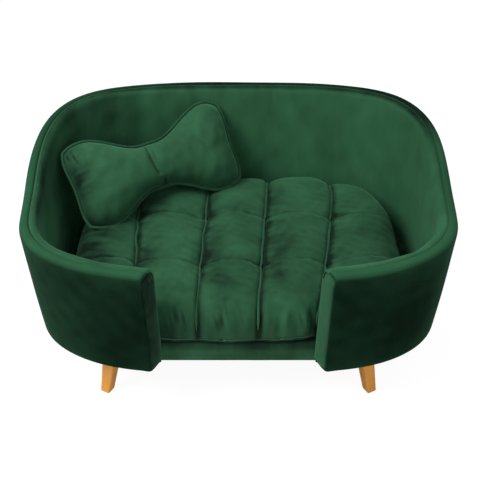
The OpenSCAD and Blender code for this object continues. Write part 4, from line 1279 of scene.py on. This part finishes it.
def pillow_local(s, t, side, peak=1.0):
    """The bone in its own frame: half width and thickness swell from the waist, and its ends are notched.

    peak is how far its upper corners are drawn out.
    """
    half_w = (PILLOW_WAIST + (PILLOW_LOBE - PILLOW_WAIST) * lobe_share(s)) / 2
    half_t = (PILLOW_WAIST_T + (PILLOW_LOBE_T - PILLOW_WAIST_T) * lobe_share(s)) / 2
    notch = signed_power(s, 7) * PILLOW_NOTCH * (1 - t * t)
    x = PILLOW_WIDTH / 2 * s * (1 - PILLOW_ROUND * t ** 4) - notch
    corners = 0.0055 * bell(s - 0.86, 0.15) + 0.002 * bell(s + 0.9, 0.15)
    y = half_w * t * (1 - PILLOW_LOBE_ROUND * s ** 8) + peak * np.clip(t, 0, 1) ** 2 * corners
    puff = np.clip(1 - s ** 4, 0, 1) ** 0.6 * np.clip(1 - np.abs(t) ** 2.5, 0, 1) ** 0.6
    dip = PILLOW_TUCK * np.clip(1 - np.abs(s) / 0.14, 0, 1) ** 1.8 if side > 0 else 0
    return np.stack([x, y, side * (half_t - dip) * puff], axis=-1)


def pillow_turn(local):
    """The pillow's own frame turned: its length by yaw and pitch, its face by a lean that twists along it."""
    level = np.array([-math.sin(PILLOW_YAW), math.cos(PILLOW_YAW), 0])
    along = np.array([math.cos(PILLOW_PITCH) * math.cos(PILLOW_YAW),
                      math.cos(PILLOW_PITCH) * math.sin(PILLOW_YAW), math.sin(PILLOW_PITCH)])
    roll = (PILLOW_LEAN + PILLOW_TWIST * local[..., 0] / (PILLOW_WIDTH / 2))[..., None]
    across = np.cos(roll) * level + np.sin(roll) * np.cross(along, level)
    out = np.cross(np.broadcast_to(along, across.shape), across)
    return local[..., :1] * along + local[..., 1:2] * across + local[..., 2:] * out


def pillow_place():
    """Where the pillow's middle lies, from the box of its frame node."""
    s, t = np.meshgrid(dense_ends(101), dense_ends(61), indexing="ij")
    skin = np.stack([pillow_turn(pillow_local(s, t, side, peak=0.0)) for side in (1, -1)]).reshape(-1, 3)
    low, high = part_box("pillow_cover")
    return (np.array(low) + np.array(high)) / 2 - (skin.min(axis=0) + skin.max(axis=0)) / 2


def waist_folds(x, t):
    """The waist's tuck on the front face: distances to its upper and lower line, and where each one shows."""
    upper = x + 0.0092 - 0.0052 * np.clip(0.5 - t, 0, 2) ** 2
    lower = x - 0.0062
    on_upper = np.exp(-np.abs(upper / 0.0028) ** 1.4) * above(t, -0.62, 0.2) * below(t, 0.92, 0.25)
    on_lower = np.exp(-np.abs(lower / 0.0028) ** 1.4) * below(t, -0.62, 0.18)
    return upper, lower, on_upper + 0.7 * on_lower


def pinches(s, t):
    """Two short folds at the upper left corner, as s, t and length."""
    total = 0
    for at_s, at_t, length in ((-0.95, 0.80, 0.008), (-0.87, 0.68, 0.012)):
        down = (at_t - t) * PILLOW_LOBE / 2
        sideways = (s - at_s) * PILLOW_WIDTH / 2 - 0.25 * down
        total = total + bell(sideways, 0.0020) * bell(down, length)
    return total


def pillow_tone_and_painted_light(flat, s, t, pinched):
    """Painted light on the right lobe, and painted shade by the left end and the lower edge, in patches, in a
    feathered place on the left lobe, and in the pinches."""
    to_left = (1 + s) * PILLOW_WIDTH / 2
    to_bottom = (1 + t) * PILLOW_WAIST / 2
    patches = np.clip(0.5 + 0.8 * ripples(flat, 0.035, 77), 0, 1)
    feathered = np.clip(0.6 + 0.5 * ripples(flat * (0.4, 1.0, 1.0), 0.014, 78), 0.2, 1)
    return (0.05 * smooth_step(s / 0.4) - 0.34 * bell(to_left, 0.017) - 0.24 * bell(to_bottom, 0.011)
            - 0.16 * patches * np.exp(-to_left / 0.035) - 0.10 * patches * below(t, 0.3, 0.8) * (s > 0)
            - 0.30 * bell(s + 0.86, 0.16) * bell(t - 0.10, 0.48) * feathered - 0.35 * pinched)


def pillow_side(pillow, side):
    """One face of the pillow, with its waist's crease and the puckers along its piping, and its pile
    attribute of painted light and shade.
    """
    seed = 71 if side > 0 else 72
    s, t = np.meshgrid(dense_ends(241), dense_ends(141), indexing="ij")
    local = pillow_local(s, t, side)
    flat = local * (1, 1, 0)
    fall = np.clip(1 - s ** 4, 0, 1) * np.clip(1 - t ** 4, 0, 1)
    to_edge = np.minimum(1 - np.abs(s), (1 - np.abs(t)) * 0.6) * PILLOW_WIDTH / 2
    uneven = 0.0014 * ripples(flat, 0.09, seed) + 0.0006 * ripples(flat, 0.03, seed + 2)
    puckers = ripples(flat, 0.016, seed + 4) * np.exp(-to_edge / 0.010)
    at_corner = bell(np.hypot(s + 0.95, t - 0.95), 0.28) + 0.5 * bell(np.hypot(s - 0.95, t + 0.95), 0.25)
    pinched = pinches(s, t)
    out = uneven + pillow.pucker * (puckers * (1 + 1.5 * at_corner) - 1.6 * pinched)
    pile = pillow_tone_and_painted_light(flat, s, t, pinched)
    if side > 0:
        upper, lower, folded = waist_folds(flat[..., 0], t)
        out = out - pillow.crease * folded
        # Painted shade in the waist's two fold lines.
        pile = pile - 0.40 * bell(upper + 0.0015, 0.0018) * above(t, -0.55, 0.15)
        pile = pile - 0.30 * bell(lower + 0.0015, 0.0018) * below(t, -0.66, 0.12)
    local[..., 2] += side * out * np.clip(fall * 6, 0, 1)
    return pillow_turn(local), pile


def pillow_mesh(pillow):
    """Both faces on the same grid, which meet along the edge seam."""
    (front, front_pile), (back, back_pile) = (pillow_side(pillow, side) for side in (1, -1))
    rows, columns = front.shape[:2]
    quads = grid_quads(rows, columns)
    points = np.concatenate([front.reshape(-1, 3), back.reshape(-1, 3)]) + pillow_place()
    faces = np.concatenate([quads, quads[:, ::-1] + rows * columns])
    return points, faces, np.concatenate([front_pile.ravel(), back_pile.ravel()])


def pillow_piping_path(pillow):
    """The cord round the edge seam, just outside the cover."""
    u, v = dense_ends(121), dense_ends(71)
    s = np.concatenate([u[:-1], np.ones(len(v) - 1), u[:0:-1], -np.ones(len(v) - 1)])
    t = np.concatenate([-np.ones(len(u) - 1), v[:-1], np.ones(len(u) - 1), v[:0:-1]])
    path = pillow_local(s, t, 1)
    for _ in range(6):
        path = (np.roll(path, 1, axis=0) + 2 * path + np.roll(path, -1, axis=0)) / 4
    along = np.roll(path, -1, axis=0) - np.roll(path, 1, axis=0)
    outward = unit(np.cross(along, [0, 0, 1.0]))
    return pillow_turn(path + outward * (pillow.piping / 2 + 0.0002)) + pillow_place()


# Legs

def leg_points(sx, sy, arris):
    """A square with rounded corners, carried from the panel down to the foot while it shrinks and splays."""
    turn = np.linspace(0, TAU, 48, endpoint=False)
    rounding = np.linspace(0, math.pi / 2, 5)[1:]
    heights = np.concatenate([[LEG_HEAD_Z, LEG_HEAD_Z],
                              np.linspace(LEG_HEAD_Z - 0.0004, FOOT_PAD_T + arris, 24),
                              FOOT_PAD_T + arris * (1 - np.sin(rounding)), [FOOT_PAD_T]])
    share = (LEG_HEAD_Z - heights) / (LEG_HEAD_Z - FOOT_PAD_T)
    half = (LEG_TOP + (LEG_FOOT - LEG_TOP) * share) / 2
    half[-5:-1] -= arris * (1 - np.cos(rounding))
    half[[0, -1]] = 0
    corner_power = 0.22
    square = np.stack([signed_power(np.cos(turn), corner_power),
                       signed_power(np.sin(turn), corner_power)], axis=-1)
    flat = (square @ turning(-LEG_TURN))[None] * half[:, None, None]
    x = sx * (PLAN_A - LEG_INSET_X + LEG_SPLAY_X * share[:, None] + flat[..., 0])
    y = sy * (PLAN_B - LEG_INSET_Y + LEG_SPLAY_Y * share[:, None] + flat[..., 1])
    points = np.stack([x, y, np.broadcast_to(heights[:, None], x.shape)], axis=-1)
    return points, grid_quads(len(heights), len(turn), wrap_columns=True)


def foot_pad_points(sx, sy):
    """A felt disc with a rounded edge, from its lower middle round to its upper middle."""
    rounding = 0.0006
    turn = np.linspace(0, TAU, 40, endpoint=False)
    edge = np.linspace(-math.pi / 2, math.pi / 2, 7)
    rim_r = FOOT_PAD_R - rounding + rounding * np.cos(edge)
    rim_z = FOOT_PAD_T / 2 * (1 + np.sin(edge))
    r = np.concatenate([[0, FOOT_PAD_R / 2], rim_r, [FOOT_PAD_R / 2, 0]])[:, None]
    z = np.concatenate([[0, 0], rim_z, [FOOT_PAD_T, FOOT_PAD_T]])[:, None]
    x = sx * (PLAN_A - LEG_INSET_X + LEG_SPLAY_X) + r * np.cos(turn)
    y = sy * (PLAN_B - LEG_INSET_Y + LEG_SPLAY_Y) + r * np.sin(turn)
    points = np.stack([x, y, np.broadcast_to(z, x.shape)], axis=-1)
    return points, grid_quads(len(z), len(turn), wrap_columns=True)[:, ::-1]


# Stage

def make_floor():
    """A wide pale disc whose own light shows only to the camera, so that it keeps the shadow."""
    turn = np.linspace(0, TAU, 96, endpoint=False)
    radii = np.array([0.0, 0.5, 1.5, 4.0, 12.0])[:, None]
    x, y = radii * np.cos(turn), radii * np.sin(turn)
    points = np.stack([x, y, 0 * x], axis=-1).reshape(-1, 3)
    mesh = bpy.data.meshes.new("floor")
    mesh.from_pydata(points.tolist(), [], grid_quads(len(radii), len(turn), wrap_columns=True).tolist())
    floor = bpy.data.objects.new("floor", mesh)
    bpy.context.scene.collection.objects.link(floor)
    darker, lighter = (0.80, 0.80, 0.80), (0.84, 0.84, 0.84)
    material, tree, shader, place = new_material("pale_floor")
    tone = mix_colours(tree, noise(tree, place, 3.0), rgba(darker), rgba(lighter))
    finish_with(tree, shader, Base_Color=tone, Roughness=0.9, Specular_IOR_Level=0.1)
    glow = add_node(tree, "ShaderNodeEmission", Color=WHITE, Strength=1.24)
    seen = add_node(tree, "ShaderNodeLightPath").outputs["Is Camera Ray"]
    mix_shaders(tree, combine(tree, "MULTIPLY", seen, 0.75), shader, glow, "Material Output")
    mesh.materials.append(material)


def make_world(ambient):
    """Plain ambient light, seen as white by the camera, in reflections and through clear things."""
    world = bpy.data.worlds.new("studio")
    world.use_nodes = True
    tree = world.node_tree
    background = tree.nodes["Background"]
    finish_with(tree, background, Color=WHITE, Strength=ambient)
    white = add_node(tree, "ShaderNodeBackground", Color=WHITE, Strength=1.0)
    ray = add_node(tree, "ShaderNodeLightPath").outputs
    clear = combine(tree, "MAXIMUM", ray["Is Glossy Ray"], ray["Is Transmission Ray"])
    seen = combine(tree, "MAXIMUM", ray["Is Camera Ray"], clear)
    mix_shaders(tree, seen, background, white, "World Output")
    bpy.context.scene.world = world


def make_lamp(name, place, power, size):
    """A square soft lamp that points at the sofa's middle."""
    lamp = bpy.data.lights.new(name, "AREA")
    lamp.energy = power
    lamp.size = size
    made = bpy.data.objects.new(name, lamp)
    made.location = place
    made.rotation_euler = (Vector((0, 0, 0.2)) - Vector(place)).to_track_quat("-Z", "Y").to_euler()
    bpy.context.scene.collection.objects.link(made)


def make_camera():
    """The photograph's view: from the front, and looking down on the sofa."""
    place, down = (0.0026, -1.0572, 0.9139), 34.0
    camera = bpy.data.cameras.new("camera")
    camera.sensor_width = 36.0
    camera.lens = 55.55
    camera.clip_start = 0.01
    made = bpy.data.objects.new("camera", camera)
    made.location = place
    made.rotation_euler = (math.radians(90 - down), 0.0, 0.0)
    bpy.context.scene.collection.objects.link(made)
    bpy.context.scene.camera = made


# Operators

def settings():
    """The sofa's settings in the open scene."""
    return bpy.context.scene.dog_sofa


def velvet_sheet(name, points, normals, pile, material, replaced):
    """A velvet cover of the tub: a thin closed sheet over its padding."""
    points, faces = thick_sheet(points, normals, VELVET)
    return make_piece(name, points, faces, "tub", material, replaced,
                      pile=np.concatenate([pile, pile]))


class SofaOperator(bpy.types.Operator):
    """Makes one piece or group of like pieces"""
    bl_options = {"REGISTER", "UNDO"}


class DOGSOFA_OT_outer_cover(SofaOperator):
    """Make the outer velvet cover, from the hem over the rim to its seam"""
    bl_idname = "dogsofa.outer_cover"
    bl_label = "Outer cover"

    def execute(self, context):
        points, normals = outer_cover_points(settings().tub)
        material = velvet("outer_velvet", settings().velvet, shine=0.15)
        cover = velvet_sheet("outer_velvet_cover", points, normals, outer_tone_and_painted_light(points, normals),
                             material, ["outer_cover", "outer_padding"])
        return {"FINISHED"}


class DOGSOFA_OT_lining(SofaOperator):
    """Make the lining, from the rim's seam down to the deck"""
    bl_idname = "dogsofa.lining"
    bl_label = "Lining"

    def execute(self, context):
        points, normals = lining_points(settings().tub)
        material = velvet("lining_velvet", settings().velvet, brush_turn=(0, 0, 0.6), shine=0.75)
        cover = velvet_sheet("lining_velvet", points, normals, lining_tone_and_painted_light(points, normals),
                             material, ["inner_cover", "inner_padding", "rim_padding"])
        return {"FINISHED"}


class DOGSOFA_OT_facings(SofaOperator):
    """Make the panel on each arm's end"""
    bl_idname = "dogsofa.facings"
    bl_label = "Arm facings"

    def execute(self, context):
        # A slightly darker painted copy of the velvet: painted shade on the arm panels.
        material = velvet("facing_velvet", settings().velvet, lift=-0.02)
        for side, name in ((1, "right"), (-1, "left")):
            rings = facing_points(settings().tub, side)
            faces = grid_quads(*rings.shape[:2], wrap_columns=True)
            faces = faces[:, ::-1] if side > 0 else faces
            replaced = [name + "_arm_facing"] + (["arm_end_padding"] if side > 0 else [])
            panel = make_piece(name + "_arm_panel", rings, faces, "tub", material, replaced,
                               pile=facing_tone_and_painted_shade(rings, side))
        return {"FINISHED"}


class DOGSOFA_OT_deck(SofaOperator):
    """Make the velvet of the deck and the front rail"""
    bl_idname = "dogsofa.deck"
    bl_label = "Deck and rail cover"

    def execute(self, context):
        points, normals = deck_points()
        # A darker painted copy of the velvet: painted shade on the deck and rail.
        material = velvet("deck_velvet", settings().velvet, lift=-0.12, brush_turn=(0, 1.57, 0))
        cover = velvet_sheet("deck_velvet", points, normals, deck_tone_and_painted_shade(points), material,
                             ["deck_cover", "deck_foam", "rail_padding"])
        return {"FINISHED"}


class DOGSOFA_OT_dust_cover(SofaOperator):
    """Make the spun cloth under the base"""
    bl_idname = "dogsofa.dust_cover"
    bl_label = "Dust cover"

    def execute(self, context):
        plan, triangles = dust_plan()
        points, faces = dust_mesh(plan, triangles)
        material = fibre_cloth("dust_cloth", dark=(0.006, 0.006, 0.007), light=(0.035, 0.035, 0.038),
                               scale=900.0, depth=0.0003)
        sheet = make_piece("dust_cloth", points, faces, "tub", material, ["dust_cover"],
                           smooth=False)
        return {"FINISHED"}


class DOGSOFA_OT_cushion(SofaOperator):
    """Make the channelled cushion's cover"""
    bl_idname = "dogsofa.cushion"
    bl_label = "Cushion"

    def execute(self, context):
        points, faces, pile = cushion_mesh(settings().cushion)
        cushion = make_piece("cushion_velvet", points, faces, "cushion",
                             velvet("cushion_velvet", settings().velvet, brush_turn=(0, 1.57, 0)),
                             ["cushion_cover", "cushion_filling"], pile=pile)
        return {"FINISHED"}


class DOGSOFA_OT_cushion_piping(SofaOperator):
    """Make the piping in the cushion's channels"""
    bl_idname = "dogsofa.cushion_piping"
    bl_label = "Cushion piping"

    def execute(self, context):
        cords = []
        for path in cushion_piping_paths(settings().cushion):
            step = np.arange(len(path))
            tapered = np.sqrt(np.clip(np.minimum(step, step[::-1]) / 4, 0, 1))
            points, faces = tube(path, settings().cushion.piping / 2 * tapered, closed=False)
            cords.append((points, faces[:, ::-1]))
        points, faces = joined(cords)
        # A darker painted copy of the velvet: painted shade on the cushion's cords.
        make_piece("cushion_piping_cords", points, faces, "cushion",
                   velvet("cushion_piping_velvet", settings().velvet, lift=-0.08), ["cushion_piping"],
                   weld=WELD)
        return {"FINISHED"}


class DOGSOFA_OT_pillow(SofaOperator):
    """Make the bone pillow's cover"""
    bl_idname = "dogsofa.pillow"
    bl_label = "Bone pillow"

    def execute(self, context):
        points, faces, pile = pillow_mesh(settings().pillow)
        # A slightly lighter painted copy of the velvet: painted light on the pillow.
        pillow = make_piece("bone_pillow_velvet", points, faces, "pillow",
                            velvet("pillow_velvet", settings().velvet, lift=0.02, brush_turn=(0.5, 0.4, 0)),
                            ["pillow_cover", "pillow_filling"], weld=WELD, pile=pile)
        return {"FINISHED"}


class DOGSOFA_OT_pillow_piping(SofaOperator):
    """Make the piping round the bone pillow"""
    bl_idname = "dogsofa.pillow_piping"
    bl_label = "Pillow piping"

    def execute(self, context):
        face_way = pillow_turn(np.array([[0, 0, 1.0]]))[0]
        points, faces = tube(pillow_piping_path(settings().pillow), settings().pillow.piping / 2,
                             closed=True, up=face_way)
        # A darker painted copy of the velvet: painted shade on the pillow's cord.
        make_piece("pillow_piping_cord", points, faces[:, ::-1], "pillow",
                   velvet("pillow_piping_velvet", settings().velvet, lift=-0.20), ["pillow_piping"])
        return {"FINISHED"}


class DOGSOFA_OT_legs(SofaOperator):
    """Make the four varnished legs"""
    bl_idname = "dogsofa.legs"
    bl_label = "Legs"

    def execute(self, context):
        material = varnished_wood("leg_varnish", settings().legs)
        for sx, side in ((-1, "left"), (1, "right")):
            for sy, end in ((-1, "front"), (1, "back")):
                node = f"{end}_{side}_leg"
                points, faces = leg_points(sx, sy, settings().legs.arris)
                make_piece(node + "_wood", points, faces, "tub", material, [node], weld=WELD)
        return {"FINISHED"}


class DOGSOFA_OT_foot_pads(SofaOperator):
    """Make the felt pads under the legs"""
    bl_idname = "dogsofa.foot_pads"
    bl_label = "Felt pads"

    def execute(self, context):
        points, faces = joined([foot_pad_points(sx, sy) for sx in (-1, 1) for sy in (-1, 1)])
        felt = fibre_cloth("pad_felt", dark=(0.02, 0.02, 0.02), light=(0.09, 0.09, 0.085),
                           scale=2600.0, depth=0.0002)
        pads = make_piece("felt_pads", points, faces, "tub", felt, ["foot_pads"], weld=WELD)
        return {"FINISHED"}


class DOGSOFA_OT_frame_finishes(SofaOperator):
    """Give the frame's own wood and steel their finishes"""
    bl_idname = "dogsofa.frame_finishes"
    bl_label = "Frame finishes"

    def execute(self, context):
        finishes = (
            (birch_plywood("birch_plywood"), ("base_panel", "wall_core")),
            (raw_pine("pine"), ("front_rail", "left_arm_post", "right_arm_post")),
            (zinc_plate("zinc_plate"), ("cover_staples", "tee_nuts", "hanger_bolts")),
        )
        for material, names in finishes:
            for name in names:
                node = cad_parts[name]
                node.data.materials.clear()
                node.data.materials.append(material)
        return {"FINISHED"}


class DOGSOFA_OT_stage(SofaOperator):
    """Make the floor, the soft lights and the camera"""
    bl_idname = "dogsofa.stage"
    bl_label = "Stage"

    def execute(self, context):
        stage = settings().stage
        make_floor()
        make_world(stage.ambient)
        make_lamp("key_lamp", (-1.35, -0.75, 1.9), stage.key_power, size=1.1)
        make_lamp("fill_lamp", (1.5, -1.4, 1.5), stage.fill_power, size=1.6)
        make_camera()
        context.scene.view_settings.view_transform = "Standard"
        return {"FINISHED"}


OPERATORS = (
    DOGSOFA_OT_outer_cover, DOGSOFA_OT_lining, DOGSOFA_OT_facings, DOGSOFA_OT_deck, DOGSOFA_OT_dust_cover,
    DOGSOFA_OT_cushion, DOGSOFA_OT_cushion_piping, DOGSOFA_OT_pillow, DOGSOFA_OT_pillow_piping,
    DOGSOFA_OT_legs, DOGSOFA_OT_foot_pads, DOGSOFA_OT_frame_finishes, DOGSOFA_OT_stage,
)


class DOGSOFA_PT_panel(bpy.types.Panel):
    """Lists the sofa's pieces and their settings"""
    bl_idname = "DOGSOFA_PT_panel"
    bl_label = "Dog sofa"
    bl_space_type = "VIEW_3D"
    bl_region_type = "UI"
    bl_category = "Dog sofa"

    def draw(self, context):
        """Shows a button for each piece, and each group's settings in a box."""
        column = self.layout.column()
        for operator in OPERATORS:
            column.operator(operator.bl_idname)
        for group in ("velvet", "tub", "cushion", "pillow", "legs", "stage"):
            box = column.box()
            box.label(text=group.capitalize())
            values = getattr(context.scene.dog_sofa, group)
            for name in values.__annotations__:
                box.prop(values, name)


CLASSES = (
    VelvetSettings, TubSettings, CushionSettings, PillowSettings, LegSettings, StageSettings, SofaSettings,
    *OPERATORS, DOGSOFA_PT_panel,
)


def register():
    """Registers the classes and gives the scene its settings."""
    for made in CLASSES:
        bpy.utils.register_class(made)
    bpy.types.Scene.dog_sofa = bpy.props.PointerProperty(type=SofaSettings)


def unregister():
    """Takes the settings and the classes away again."""
    del bpy.types.Scene.dog_sofa
    for made in reversed(CLASSES):
        bpy.utils.unregister_class(made)


def main():
    register()
    for operator in OPERATORS:
        group, name = operator.bl_idname.split(".")
        getattr(getattr(bpy.ops, group), name)()


if __name__ == "__main__":
    main()
